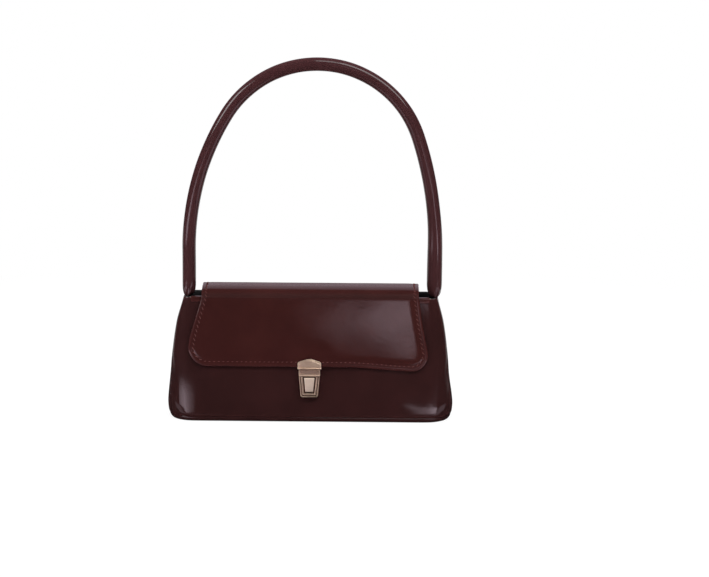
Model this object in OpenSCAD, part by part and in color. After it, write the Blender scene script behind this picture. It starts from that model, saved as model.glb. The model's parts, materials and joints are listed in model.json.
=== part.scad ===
/* [Body] */
// Width of the base, side to side
base_w = 240; // [200:1:280]
// Depth of the base, front to back
base_d = 90; // [84:1:110]
// Height of the rim round the mouth
rim_z = 102; // [96:1:120]
// Width of the mouth at the rim
rim_w = 219; // [190:1:219]
// Depth of the mouth at the rim
rim_d = 40; // [36:1:50]
// How late the gussets draw in towards the rim
gusset_bow = 3; // [2:0.5:4]
// Corner radius of the base, seen from above
base_corner_r = 20; // [14:0.5:26]
// Corner radius of the mouth, seen from above
rim_corner_r = 7; // [6:0.5:9]
// Height of the base leather's turned-up edge
base_edge_h = 4; // [4:0.1:7]
// Rounding under the base's outer edge
base_edge_r = 3; // [1:0.1:3.5]

/* [Layers] */
// Thickness of the body leather
leather_t = 1.4; // [1:0.1:1.6]
// Thickness of the stiffening boards
board_t = 1.8; // [1.8:0.1:2.2]
// Thickness of the cloth lining
lining_t = 0.6; // [0.4:0.1:0.9]
// Space between two layers that lie on each other
layer_gap = 0.1; // [0.05:0.01:0.15]

/* [Flap] */
// How far the flap's top face stands above the rim
flap_rise = 8; // [7.5:0.1:10]
// Half of the flap's width over the mouth
flap_half_w = 94; // [80:0.5:94.5]
// Half of the flap's width at its widest, near the lower edge
flap_half_w_low = 100.5; // [95:0.5:101]
// Height of the flap's lower edge, along the front slope
flap_low_u = 46.5; // [46:0.1:50]
// Radius of the flap's lower corners
flap_corner_r = 15; // [8:0.5:22]
// Outside radius of the bend at the front of the flap
front_bend_r = 9; // [6:0.5:9]
// Outside radius of the bend at the back of the flap
back_bend_r = 7; // [5.5:0.5:7]
// Thickness of the flap's leather
flap_leather_t = 1.3; // [1:0.1:1.4]
// Thickness of the flap's stiffening board
flap_board_t = 0.8; // [0.6:0.1:0.9]
// Thickness of the flap's lining
flap_lining_t = 0.7; // [0.5:0.1:0.8]
// Space between the front panel and the closed flap
flap_standoff = 2.2; // [2.1:0.05:2.6]
// Length of the flap's tail sewn down the back panel
tail_len = 20; // [12:1:40]

/* [Handle] */
// Diameter of the padded handle
handle_d = 11.5; // [10:0.1:12]
// How far inside the rim's ends the middles of the handle's legs stand
handle_inset = 3; // [1.8:0.1:3.2]
// Height of the middle of the handle's tube at the crown
crown_z = 298.9; // [284:0.1:325]
// How much less the crown's radius is than the reach from its centre to the nearer leg
crown_inset = 9.5; // [8:0.1:16]
// Height at which the legs start to curve inwards
leg_top_z = 128; // [122:0.5:150]
// Sideways lean of the crown
crown_lean = 5; // [0:0.5:6]
// Thickness of the leather round the handle's core
handle_leather_t = 1.2; // [0.9:0.1:1.6]
// Thickness of the handle's pinched ends
pinch_t = 3; // [2.4:0.1:3.2]
// Height of a pinched end's pivot above the rim
pinch_rise = 3.9; // [3.9:0.1:4.4]
// Length of the taper from the round tube to the pivot
pinch_len = 7; // [6:0.5:10]

/* [Lock] */
// Width of the lock case at its top
case_w_top = 18; // [17.6:0.1:19]
// Width of the lock case at its bottom
case_w_low = 14.5; // [13.8:0.1:16]
// Height of the case's lower edge, along the front slope
case_low_u = 20.1; // [18:0.1:20.5]
// Height of the case's upper edge, along the front slope
case_top_u = 39.4; // [39:0.1:39.4]
// Height that the case stands out of the front panel
case_proud = 4.2; // [3.8:0.1:4.2]
// Width of the push button at its top
button_w_top = 9; // [8:0.1:9]
// Width of the push button at its bottom
button_w_low = 6.6; // [5.5:0.1:7]
// Travel of the push button
button_travel = 1.2; // [1.1:0.05:1.3]
// Width of the plate on the flap
plate_w = 20; // [17:0.1:22]
// Thickness of the plate on the flap
plate_t = 1.05; // [0.8:0.05:1.2]
// Width of the tongue
tongue_w = 14; // [13.6:0.1:14.2]

/* [Hidden] */

// Colours
burgundy = [0.24, 0.10, 0.11];
dark_burgundy = [0.17, 0.07, 0.08];
black_cloth = [0.06, 0.06, 0.06];
grey_board = [0.55, 0.50, 0.44];
pale_gold = [0.86, 0.72, 0.56];
bright_gold = [0.93, 0.80, 0.64];
spring_steel = [0.60, 0.60, 0.62];
foam_grey = [0.35, 0.34, 0.33];

// One overrun serves every cut
cut = 1;
// Clearance between pieces that move past each other
run_gap = 0.3;

// Shape of the body
slope = atan((base_d - rim_d) / 2 / (rim_z - base_edge_r));
// Depth that the leaning panels would reach if they ran on down to the floor
foot_d = base_d + 2 * base_edge_r * tan(slope);
row_count = 9;
arc_steps = 3;
edge_steps = 4;
panel_z = base_edge_h + layer_gap;
board_in = leather_t + layer_gap;
lining_in = board_in + board_t + layer_gap;
base_board_z = leather_t + layer_gap;
base_lining_z = base_board_z + board_t + layer_gap;
lining_z = base_lining_z + lining_t + layer_gap;

function half_w(z) = base_w / 2 - (base_w - rim_w) / 2 * pow(z / rim_z, gusset_bow);
function half_d(z) = foot_d / 2 - z * tan(slope);
function corner_r(z) = base_corner_r + (rim_corner_r - base_corner_r) * z / rim_z;
// Horizontal inset of a face that lies a given depth under the leaning panel
function level_inset(depth) = depth / cos(slope);
// A place on the body's outline: c holds the corner's two signs and the direction on its arc
function body_point(z, depth, c) = [
    c[0] * (half_w(z) - corner_r(z)) + (corner_r(z) - level_inset(depth)) * cos(c[2]),
    c[1] * (half_d(z) - corner_r(z)) + (corner_r(z) - level_inset(depth)) * sin(c[2]),
    z
];
// A place in depth and height at a height z, out of the front slope by n
function slope_point(z, n) = [-foot_d / 2 + z * tan(slope) - n / cos(slope), z];
// The same for a place at a distance u up the slope
function front_place(u, n) = [-foot_d / 2 + u * sin(slope) - n * cos(slope), u * cos(slope) + n * sin(slope)];
function back_place(u, n) = [-front_place(u, n)[0], front_place(u, n)[1]];
function arc_columns(sx, sy, from, to) = [
    for (i = [0:arc_steps]) [sx, sy, from + (to - from) * i / arc_steps]
];
front_columns = concat(arc_columns(-1, -1, 225, 270), arc_columns(1, -1, 270, 315));
right_columns = concat(arc_columns(1, -1, 315, 360), arc_columns(1, 1, 0, 45));
loop_columns = concat(arc_columns(1, 1, 0, 90), arc_columns(-1, 1, 90, 180),
                      arc_columns(-1, -1, 180, 270), arc_columns(1, -1, 270, 360));
function heights(from, to) = [for (i = [0:row_count - 1]) from + (to - from) * i / (row_count - 1)];
wall_heights = heights(panel_z, rim_z);
function body_grid(zs, depth, columns) = [for (z = zs) [for (c = columns) body_point(z, depth, c)]];

// Slip pocket on the back lining, and the strip folded over the front rim
pocket_half_w = 55;
pocket_low_u = 31;
pocket_high_u = 82;
pocket_hem_h = 5;
binding_t = 0.6;
binding_h = 3.6;
// The strip stops short of the rim's rounded corners
binding_end_gap = 1;

// Flap
flap_t = flap_leather_t + flap_board_t + flap_lining_t + 2 * layer_gap;
flap_out_n = flap_standoff + flap_t;
flap_board_in = flap_leather_t + layer_gap;
flap_lining_in = flap_board_in + flap_board_t + layer_gap;
tail_out_n = layer_gap + flap_leather_t;
fold_gap = 0.3;
flap_top_z = rim_z + flap_rise;
bend_steps = 6;
bend_low_angle = 180 - slope;
front_mid_angle = 135 - slope / 2;
back_mid_angle = 45 + slope / 2;
front_bend_z = flap_top_z - front_bend_r;
front_bend_y = slope_point(front_bend_z, flap_out_n - front_bend_r)[0];
back_bend_z = flap_top_z - back_bend_r;
back_bend_y = -slope_point(back_bend_z, tail_out_n - back_bend_r)[0];
// Where the front bend ends and the flat front of the flap starts, along the slope
flap_start_u = (front_bend_y + foot_d / 2) * sin(slope) + front_bend_z * cos(slope);
tail_start_u = (foot_d / 2 - back_bend_y) * sin(slope) + back_bend_z * cos(slope);

// The folds' axes lie where the middles of the straight stretches would meet
front_fold_z = flap_top_z - flap_t / 2;
front_fold_y = slope_point(front_fold_z, flap_out_n - flap_t / 2)[0];
back_fold_z = flap_top_z - flap_leather_t / 2;
back_fold_y = -slope_point(back_fold_z, tail_out_n - flap_leather_t / 2)[0];

// Handle
handle_r = handle_d / 2;
core_r = handle_r - handle_leather_t;
core_gap = 0.03;
pivot_z = rim_z + pinch_rise;
leg_low_z = pivot_z + pinch_len;
handle_half_span = rim_w / 2 - handle_inset;
// The crown's arc, measured to the middle of the tube
crown_r = handle_half_span - crown_lean - crown_inset;
crown_centre_z = crown_z - crown_r;
nose_r = 3.5;
tab_w = 12;
tab_rise = 0.4;
// How many of the gusset's rows of points the tab runs down
tab_rows = 2;
tab_side_gap = 0.1;
core_low_z = leg_low_z + handle_d / 2;
tube_sides = 20;
crown_steps = 24;
side_steps = 6;

// Lock: the case, with its box let into the front panel
lock_floor_t = 0.6;
landing_h = 5;
ear_gap = 0.35;
ear_n = 3;
box_half_w = 6.3;
box_wall = 0.6;
box_foot_h = 2.4;
box_top_inset = 0.4;
box_low_u = case_low_u + box_foot_h;
box_top_u = case_top_u + landing_h - box_top_inset;
box_fit = 0.1;
case_front_t = 1.2;
bezel_depth = 0.8;
bezel_rim = 1.6;
back_plate_t = 0.4;
prong_w = 1.6;
prong_t = 0.3;
prong_bend = 1.6;

// Push button, latch plate and spring
button_gap = 0.2;
button_proud = 0.4;
button_top_margin = 2.3;
button_low_margin = 4.4;
button_top_u = case_top_u - button_top_margin;
button_low_u = case_low_u + button_low_margin;
latch_t = 0.7;
latch_top_n = -layer_gap;
latch_side_gap = 0.35;
spring_t = 0.25;
spring_w = 5;
spring_len = 12;
spring_foot_len = 2;
spring_seat_gap = 0.05;
// The box has room for the pressed latch plate over the flattened spring
box_depth = layer_gap + latch_t + button_travel + 2 * spring_t;
tongue_n = 1;
nib_w = 4.4;
nib_h = 1.2;
nib_rise = 2.4;
nib_gap = 0.35;
// The nib stands into the tongue's pocket, and clears the tongue when the button is down
nib_clear = 0.4;
nib_reach = tongue_n + button_travel - nib_clear;
nib_low_u = case_top_u + nib_rise;

// Tongue, plate and rivets on the flap
tongue_leg_t = 1.1;
tongue_t = 1.6;
tongue_gap = 0.4;
tongue_step_drop = 0.6;
tongue_rise = 4.6;
tongue_low_u = case_top_u + tongue_gap;
tongue_step_u = flap_low_u - tongue_step_drop;
tongue_top_u = flap_low_u + tongue_rise;
pocket_drop = 0.9;
nib_head_gap = 0.2;
pocket_depth = nib_reach - tongue_n + nib_head_gap;
plate_gap = 0.05;
plate_drop = 3.2;
plate_shoulder_rise = 3.3;
plate_peak_rise = 6.3;
plate_low_u = flap_low_u - plate_drop;
plate_shoulder_u = flap_low_u + plate_shoulder_rise;
plate_peak_u = flap_low_u + plate_peak_rise;
plate_peak_share = 0.3;
plate_return_h = 1;
rivet_d = 1.6;
rivet_fit = 0.05;
rivet_head_d = 2.8;
rivet_head_t = 0.5;
rivet_half_span = 5;
rivet_rise = 2.4;
rivet_u = flap_low_u + rivet_rise;

// The places that the joints turn about
echo(front_fold = [front_fold_y, front_fold_z], back_fold = [back_fold_y, back_fold_z],
     pivot = pivot_z, slope = slope);

// Closed solid between two grids of points with the same rows and columns
module skin(outer, inner) {
    rows = len(outer);
    cols = len(outer[0]);
    size = rows * cols;
    points = concat([for (r = outer) each r], [for (r = inner) each r]);
    sheet = [for (i = [0:rows - 2]) for (j = [0:cols - 2]) let (low = i * cols + j, high = low + cols)
        [low, low + 1, high + 1, high]];
    rim = concat([for (j = [0:cols - 1]) j],
                 [for (i = [1:rows - 1]) i * cols + cols - 1],
                 [for (j = [1:cols - 1]) rows * cols - 1 - j],
                 [for (i = [1:rows - 2]) (rows - 1 - i) * cols]);
    count = len(rim);
    faces = concat(
        [for (q = sheet) each [[q[2], q[1], q[0]], [q[3], q[2], q[0]]]],
        [for (q = sheet) each [
            [q[0] + size, q[1] + size, q[2] + size],
            [q[0] + size, q[2] + size, q[3] + size]]],
        [for (k = [0:count - 1]) each [
            [rim[k], rim[(k + 1) % count], rim[(k + 1) % count] + size],
            [rim[k], rim[(k + 1) % count] + size, rim[k] + size]]]);
    polyhedron(points = points, faces = faces, convexity = 6);
}

// Solid stack of level outlines
module stack(loops) {
    rows = len(loops);
    cols = len(loops[0]);
    points = [for (r = loops) each r];
    faces = concat(
        [[for (j = [0:cols - 1]) j]],
        [[for (j = [0:cols - 1]) rows * cols - 1 - j]],
        [for (i = [0:rows - 2]) for (j = [0:cols - 1]) each [
            [i * cols + j, (i + 1) * cols + (j + 1) % cols, i * cols + (j + 1) % cols],
            [i * cols + j, (i + 1) * cols + j, (i + 1) * cols + (j + 1) % cols]]]);
    polyhedron(points = points, faces = faces, convexity = 4);
}

// One level outline of the body, drawn in by a depth
function loop_at(z, depth) = [for (c = loop_columns) body_point(z, depth, c)];

// Frame on the front slope: X across, Y up the slope from the base's edge, Z out of the leather
module on_front() {
    translate([0, -foot_d / 2, 0]) rotate([90 - slope, 0, 0]) children();
}

module on_back() {
    mirror([0, 1, 0]) on_front() children();
}

// Extrudes an outline drawn in depth and height across the bag's width
module across(width) {
    rotate([90, 0, 90]) linear_extrude(width, center = true) children();
}

module block(x, u, n) {
    translate([x[0], u[0], n[0]]) cube([x[1] - x[0], u[1] - u[0], n[1] - n[0]]);
}

function arc(centre, r, from, to, steps) = [
    for (i = [0:steps]) let (a = from + (to - from) * i / steps) centre + r * [cos(a), sin(a)]
];

// Body leather, boards and lining
module wall(columns, zs, depth, thickness) {
    skin(body_grid(zs, depth, columns), body_grid(zs, depth + thickness, columns));
}

module lock_cutout(from_n, to_n) {
    on_front() block([-box_half_w - box_fit, box_half_w + box_fit],
                     [box_low_u - box_fit, box_top_u + box_fit], [from_n, to_n]);
}

module front_wall() {
    wall(front_columns, wall_heights, 0, leather_t);
}

module front_panel() {
    color(burgundy) difference() {
        front_wall();
        lock_cutout(-board_in - board_t, cut);
    }
}

module back_panel() {
    color(burgundy) mirror([0, 1, 0]) front_wall();
}

module right_wall() {
    wall(right_columns, wall_heights, 0, leather_t);
}

module right_gusset() {
    color(dark_burgundy) right_wall();
}

module left_gusset() {
    color(dark_burgundy) mirror([1, 0, 0]) right_wall();
}

// Tray with a turned-up edge, rounded under its outer side
module base_panel() {
    rounding = [for (i = [0:edge_steps]) let (a = 90 * i / edge_steps)
        loop_at(base_edge_r * (1 - cos(a)), base_edge_r * (1 - sin(a)))];
    brim = [loop_at(base_edge_h, 0), loop_at(base_edge_h, leather_t)];
    color(dark_burgundy) stack(concat(rounding, brim, [loop_at(leather_t, leather_t)]));
}

module flat_board() {
    low = base_lining_z;
    high = rim_z - layer_gap;
    ends = [[-1, -1, 270], [1, -1, 270]];
    skin(body_grid([low, high], board_in, ends), body_grid([low, high], board_in + board_t, ends));
}

module front_board() {
    color(grey_board) difference() {
        flat_board();
        lock_cutout(-board_in - board_t - cut, cut);
    }
}

module back_board() {
    color(grey_board) mirror([0, 1, 0]) flat_board();
}

module base_board() {
    color(grey_board) stack([loop_at(base_board_z, board_in), loop_at(base_board_z + board_t, board_in)]);
}

module front_cloth() {
    wall(front_columns, heights(lining_z, rim_z - layer_gap), lining_in, lining_t);
}

module front_lining() {
    color(black_cloth) front_cloth();
}

module back_lining() {
    color(black_cloth) mirror([0, 1, 0]) front_cloth();
}

module right_cloth() {
    wall(right_columns, heights(lining_z, rim_z - layer_gap), lining_in, lining_t);
}

module right_gusset_lining() {
    color(black_cloth) right_cloth();
}

module left_gusset_lining() {
    color(black_cloth) mirror([1, 0, 0]) right_cloth();
}

module base_lining() {
    color(black_cloth)
        stack([loop_at(base_lining_z, lining_in), loop_at(base_lining_z + lining_t, lining_in)]);
}

module slip_pocket() {
    face_n = -lining_in - lining_t - layer_gap;
    across_pocket = [-pocket_half_w, pocket_half_w];
    color(black_cloth) on_back() {
        block(across_pocket, [pocket_low_u, pocket_high_u], [face_n - lining_t, face_n]);
        block(across_pocket, [pocket_high_u - pocket_hem_h, pocket_high_u], [face_n - 2 * lining_t, face_n]);
    }
}

// Strip folded over the front panel's top edge, with the lining inside it
module front_rim_binding() {
    low = rim_z - binding_h;
    under = rim_z + layer_gap;
    top = under + binding_t;
    out_n = layer_gap;
    in_n = -lining_in - lining_t - layer_gap;
    color(burgundy) across(rim_w - 2 * rim_corner_r - 2 * binding_end_gap) polygon([
        slope_point(low, out_n + binding_t), slope_point(top, out_n + binding_t),
        slope_point(top, in_n - binding_t), slope_point(low, in_n - binding_t),
        slope_point(low, in_n), slope_point(under, in_n),
        slope_point(under, out_n), slope_point(low, out_n)]);
}

// Flap: outlines are drawn in depth and height
function fold_angle(mid, r, side) = mid + side * asin(fold_gap / 2 / r);
front_centre = [front_bend_y, front_bend_z];
back_centre = [back_bend_y, back_bend_z];

module flap_top_layer(depth, thickness) {
    r = [front_bend_r - depth, front_bend_r - depth - thickness];
    s = [back_bend_r - depth, back_bend_r - depth - thickness];
    across(2 * flap_half_w) polygon(concat(
        arc(back_centre, s[0], fold_angle(back_mid_angle, s[0], 1), 90, bend_steps),
        arc(front_centre, r[0], 90, fold_angle(front_mid_angle, r[0], -1), bend_steps),
        arc(front_centre, r[1], fold_angle(front_mid_angle, r[1], -1), 90, bend_steps),
        arc(back_centre, s[1], 90, fold_angle(back_mid_angle, s[1], 1), bend_steps)));
}

// One side of the flap's outline, straight and then round its lower corner
function flap_side() =
    let (centre = [flap_half_w_low - flap_corner_r, flap_low_u + flap_corner_r],
         top = [flap_half_w, flap_start_u],
         away = top - centre,
         turn = atan2(away[1], away[0]) - acos(flap_corner_r / norm(away)))
    concat([top + [0, front_bend_r], top], arc(centre, flap_corner_r, turn, -90, 2 * bend_steps));

module flap_outline() {
    side = flap_side();
    polygon(concat(side, [for (i = [len(side) - 1:-1:0]) [-side[i][0], side[i][1]]]));
}

module rivet_holes(from_n, to_n) {
    for (side = [-1, 1])
        translate([side * rivet_half_span, rivet_u, from_n])
            cylinder(r = rivet_d / 2 + rivet_fit, h = to_n - from_n, $fn = 32);
}

// One layer of the flap's front: its bend and its flat in one strip, cut to the flap's outline
module flap_front_layer(depth, thickness) {
    r = [front_bend_r - depth, front_bend_r - depth - thickness];
    low_u = flap_low_u - cut;
    difference() {
        intersection() {
            across(2 * flap_half_w_low + 2 * cut) polygon(concat(
                arc(front_centre, r[0], fold_angle(front_mid_angle, r[0], 1), bend_low_angle, bend_steps),
                [front_place(low_u, flap_out_n - depth), front_place(low_u, flap_out_n - depth - thickness)],
                arc(front_centre, r[1], bend_low_angle, fold_angle(front_mid_angle, r[1], 1), bend_steps)));
            on_front() translate([0, 0, flap_out_n - front_bend_r])
                linear_extrude(front_bend_r + cut) flap_outline();
        }
        on_front() rivet_holes(flap_standoff - cut, flap_out_n + cut);
    }
}

// Tail sewn down the back panel, with the rest of the back bend
module flap_tail() {
    r = [back_bend_r, back_bend_r - flap_leather_t];
    low_u = tail_start_u - tail_len;
    color(burgundy) across(2 * flap_half_w) polygon(concat(
        [back_place(low_u, tail_out_n)],
        arc(back_centre, r[0], slope, fold_angle(back_mid_angle, r[0], -1), bend_steps),
        arc(back_centre, r[1], fold_angle(back_mid_angle, r[1], -1), slope, bend_steps),
        [back_place(low_u, layer_gap)]));
}

module flap_top_leather() {
    color(burgundy) flap_top_layer(0, flap_leather_t);
}

module flap_top_board() {
    color(grey_board) flap_top_layer(flap_board_in, flap_board_t);
}

module flap_top_lining() {
    color(black_cloth) flap_top_layer(flap_lining_in, flap_lining_t);
}

module flap_front_leather() {
    color(burgundy) flap_front_layer(0, flap_leather_t);
}

module flap_front_board() {
    color(grey_board) flap_front_layer(flap_board_in, flap_board_t);
}

module flap_front_lining() {
    color(black_cloth) flap_front_layer(flap_lining_in, flap_lining_t);
}

// Lock
function taper_outline(w_top, w_low, top, low) = [
    [-w_low / 2, low], [w_low / 2, low], [w_top / 2, top], [-w_top / 2, top]
];

module flap_plate() {
    low_n = flap_out_n + plate_gap;
    return_u = flap_low_u - plate_gap;
    color(bright_gold) on_front() {
        translate([0, 0, low_n]) linear_extrude(plate_t) polygon([
            [-plate_w / 2, plate_low_u], [plate_w / 2, plate_low_u], [plate_w / 2, plate_shoulder_u],
            [plate_w / 2 * plate_peak_share, plate_peak_u], [-plate_w / 2 * plate_peak_share, plate_peak_u],
            [-plate_w / 2, plate_shoulder_u]]);
        block([-tongue_w / 2, tongue_w / 2], [return_u - plate_return_h, return_u],
              [tongue_n + tongue_t + plate_gap, low_n + plate_t / 2]);
    }
}

module lock_tongue() {
    sides = [-tongue_w / 2, tongue_w / 2];
    pocket = [nib_low_u - pocket_drop, nib_low_u + nib_h + nib_gap];
    color(pale_gold) on_front() difference() {
        union() {
            block(sides, [tongue_low_u, tongue_step_u], [tongue_n, tongue_n + tongue_t]);
            block(sides, [tongue_step_u, tongue_top_u], [tongue_n, tongue_n + tongue_leg_t]);
        }
        block([-nib_w / 2 - nib_gap, nib_w / 2 + nib_gap], pocket, [tongue_n - cut, tongue_n + pocket_depth]);
        rivet_holes(tongue_n - cut, tongue_n + tongue_t + cut);
    }
}

module plate_rivets() {
    color(pale_gold) on_front() for (side = [-1, 1]) translate([side * rivet_half_span, rivet_u, 0]) {
        translate([0, 0, tongue_n - rivet_head_t])
            cylinder(d = rivet_d, h = flap_out_n - tongue_n + rivet_head_t, $fn = 32);
        translate([0, 0, tongue_n - rivet_head_t])
            cylinder(d = rivet_head_d, h = rivet_head_t - plate_gap, $fn = 32);
    }
}

// The case's outer form: tapered front, landing for the tongue with an ear on each side, and the box behind
module case_body() {
    landing_top = case_top_u + landing_h;
    ear_in = tongue_w / 2 + ear_gap;
    linear_extrude(case_proud) polygon(taper_outline(case_w_top, case_w_low, case_top_u, case_low_u));
    block([-case_w_top / 2, case_w_top / 2], [case_top_u, landing_top], [0, lock_floor_t]);
    for (side = [0, 1]) mirror([side, 0, 0])
        block([ear_in, case_w_top / 2], [case_top_u, landing_top - run_gap], [0, ear_n]);
    block([-box_half_w, box_half_w], [box_low_u, box_top_u], [-box_depth, lock_floor_t / 2]);
}

// The button's outline, grown by a margin at its sides, its top and its bottom
module button_outline(side, top, low) {
    polygon(taper_outline(button_w_top + 2 * side, button_w_low + 2 * side,
                          button_top_u + top, button_low_u - low));
}

module lock_case() {
    inner = [box_wall - box_half_w, box_half_w - box_wall];
    hollow_low_u = box_low_u + box_wall;
    nib_half = nib_w / 2 + nib_gap;
    color(pale_gold) on_front() difference() {
        case_body();
        // Hollow behind the front wall, and under the landing
        block(inner, [hollow_low_u, button_top_u + box_wall],
              [-box_depth - cut, case_proud - case_front_t - bezel_depth]);
        block(inner, [hollow_low_u, box_top_u - box_wall], [-box_depth - cut, 0]);
        // Sunk bezel and the button's window
        translate([0, 0, case_proud - bezel_depth]) linear_extrude(bezel_depth + cut)
            button_outline(bezel_rim, bezel_rim / 2, bezel_rim);
        linear_extrude(case_proud) button_outline(button_gap, button_gap, button_gap);
        // Window for the nib
        block([-nib_half, nib_half], [nib_low_u - nib_gap, nib_low_u + nib_h + nib_gap],
              [-cut, lock_floor_t + cut]);
    }
}

module lock_back_plate() {
    color(pale_gold) on_front() block([-box_half_w, box_half_w], [box_low_u, box_top_u],
                                      [-box_depth - back_plate_t, -box_depth]);
}

// Four prongs of the case, folded over the back plate
module case_prongs() {
    low_n = -box_depth - back_plate_t - prong_t;
    us = [box_low_u + prong_w, box_top_u - 2 * prong_w];
    color(pale_gold) on_front() for (side = [0, 1], u = us) mirror([side, 0, 0])
        block([box_half_w - prong_bend, box_half_w], [u, u + prong_w], [low_n, low_n + prong_t]);
}

module lock_button() {
    color(bright_gold) on_front() translate([0, 0, latch_top_n])
        linear_extrude(case_proud + button_proud - latch_top_n) button_outline(0, 0, 0);
}

module latch_plate() {
    half = box_half_w - box_wall - latch_side_gap;
    color(spring_steel) on_front() {
        block([-half, half], [box_low_u + box_wall + latch_side_gap, box_top_u - box_wall - latch_side_gap],
              [latch_top_n - latch_t, latch_top_n]);
        block([-nib_w / 2, nib_w / 2], [nib_low_u, nib_low_u + nib_h],
              [latch_top_n - latch_t / 2, nib_reach]);
    }
}

// Bowed leaf between the back plate and the latch plate
module latch_spring() {
    low = -box_depth + spring_seat_gap;
    high = latch_top_n - latch_t - spring_seat_gap;
    half = spring_len / 2;
    foot = half - spring_foot_len;
    color(spring_steel) on_front() translate([0, (button_top_u + button_low_u) / 2, 0]) rotate([90, 0, 90])
        linear_extrude(spring_w, center = true) polygon([
            [-half, low], [-foot, low], [-spring_t, high - spring_t], [spring_t, high - spring_t],
            [foot, low], [half, low], [half, low + spring_t], [foot, low + spring_t],
            [spring_foot_len, high], [-spring_foot_len, high],
            [-foot, low + spring_t], [-half, low + spring_t]]);
}

// Handle
// Radius of the side arc that joins a leg to the crown, for the crown's distance from that leg
function side_arc_r(reach) =
    let (rise = crown_centre_z - leg_top_z)
    (reach * reach + rise * rise - crown_r * crown_r) / (2 * (reach - crown_r));
function side_turn(reach) = atan2(crown_centre_z - leg_top_z, side_arc_r(reach) - reach);

// Middle line of the handle, from the left leg over the crown to the right leg. Each place holds X, Z and the
// direction of the arch's outer side
function ring_places(centre, r, from, to, steps) = [
    for (i = [0:steps]) let (a = from + (to - from) * i / steps)
        [centre[0] + r * cos(a), centre[1] + r * sin(a), a]
];
function middle_line(low) =
    let (left_reach = handle_half_span + crown_lean,
         right_reach = handle_half_span - crown_lean,
         left_r = side_arc_r(left_reach),
         right_r = side_arc_r(right_reach),
         left_turn = 180 - side_turn(left_reach),
         right_turn = side_turn(right_reach),
         crown = ring_places([crown_lean, crown_centre_z], crown_r, left_turn, right_turn, crown_steps))
    concat([[-handle_half_span, low, 180]],
           ring_places([left_r - handle_half_span, leg_top_z], left_r, 180, left_turn, side_steps),
           [for (i = [1:crown_steps - 1]) crown[i]],
           ring_places([handle_half_span - right_r, leg_top_z], right_r, right_turn, 0, side_steps),
           [[handle_half_span, low, 0]]);

// Round tube along a middle line
module tube(places, r) {
    stack([for (p = places) [for (k = [0:tube_sides - 1])
        let (t = 360 * k / tube_sides)
        [p[0] + r * cos(t) * cos(p[2]), -r * sin(t), p[1] + r * cos(t) * sin(p[2])]]]);
}

// Pinched end: the round tube runs down to a flat nose on the pivot
module pinched_end() {
    hull() {
        translate([0, 0, leg_low_z]) cylinder(r = handle_r, h = handle_leather_t, $fn = tube_sides);
        translate([0, 0, pivot_z]) rotate([0, 90, 0])
            cylinder(r = nose_r, h = pinch_t, center = true, $fn = 32);
    }
}

module handle_cover() {
    color(burgundy) {
        difference() {
            tube(middle_line(leg_low_z), handle_r);
            tube(middle_line(core_low_z - core_gap), core_r + core_gap);
        }
        for (side = [-1, 1]) translate([side * handle_half_span, 0, 0]) pinched_end();
    }
}

module handle_core() {
    color(foam_grey) tube(middle_line(core_low_z), core_r);
}

// Sewn end of the handle, held between the gusset's leather and lining, cradling the nose
module right_tab() {
    // The tab follows the gusset's own rows of points, so that the two lie flat on each other
    zs = concat([for (i = [row_count - 1 - tab_rows:row_count - 1]) wall_heights[i]], [rim_z + tab_rise]);
    depth = leather_t + layer_gap;
    function side_point(z, d, y) = [half_w(min(z, rim_z)) - level_inset(d), y, z];
    ys = [-tab_w / 2, 0, tab_w / 2];
    difference() {
        skin([for (z = zs) [for (y = ys) side_point(z, depth, y)]],
             [for (z = zs) [for (y = ys) side_point(z, depth + board_t, y)]]);
        translate([rim_w / 2, 0, pivot_z]) rotate([0, 90, 0])
            cylinder(r = nose_r + run_gap, h = 2 * lining_in + 2 * cut, center = true, $fn = 48);
    }
}

module right_handle_tab() {
    color(dark_burgundy) right_tab();
}

module left_handle_tab() {
    color(dark_burgundy) mirror([1, 0, 0]) right_tab();
}

front_panel();
back_panel();
left_gusset();
right_gusset();
base_panel();
front_board();
back_board();
base_board();
front_lining();
back_lining();
left_gusset_lining();
right_gusset_lining();
base_lining();
slip_pocket();
front_rim_binding();
flap_tail();
left_handle_tab();
right_handle_tab();
flap_top_leather();
flap_top_board();
flap_top_lining();
flap_front_leather();
flap_front_board();
flap_front_lining();
flap_plate();
lock_tongue();
plate_rivets();
lock_case();
lock_back_plate();
case_prongs();
lock_button();
latch_plate();
latch_spring();
handle_cover();
handle_core();
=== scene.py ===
"""Looks of the small flared handbag with a front flap, a push lock and one arched handle.

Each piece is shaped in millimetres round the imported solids, and cast in metres in their frame.
"""
import json
import logging
import math
from dataclasses import dataclass, field
from enum import Enum
from functools import cached_property
from typing import Callable

import bmesh
import bpy
import numpy as np
from mathutils import Matrix, Vector


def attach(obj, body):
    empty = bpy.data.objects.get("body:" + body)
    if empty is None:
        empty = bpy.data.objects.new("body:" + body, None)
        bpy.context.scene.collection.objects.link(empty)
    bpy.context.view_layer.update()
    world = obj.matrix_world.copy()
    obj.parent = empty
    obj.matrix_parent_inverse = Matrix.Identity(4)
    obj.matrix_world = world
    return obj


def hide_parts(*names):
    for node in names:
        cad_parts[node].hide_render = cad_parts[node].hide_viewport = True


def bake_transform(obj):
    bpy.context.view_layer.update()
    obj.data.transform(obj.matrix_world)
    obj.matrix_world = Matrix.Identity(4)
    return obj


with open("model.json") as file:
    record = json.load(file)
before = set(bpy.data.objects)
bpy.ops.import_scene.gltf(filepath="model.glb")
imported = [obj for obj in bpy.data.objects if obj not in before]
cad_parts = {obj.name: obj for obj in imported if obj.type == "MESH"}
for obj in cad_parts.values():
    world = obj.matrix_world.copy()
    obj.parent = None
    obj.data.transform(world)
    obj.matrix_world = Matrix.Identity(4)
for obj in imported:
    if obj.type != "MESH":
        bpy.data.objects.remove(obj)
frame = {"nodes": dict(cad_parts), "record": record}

MM = 0.001
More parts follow.
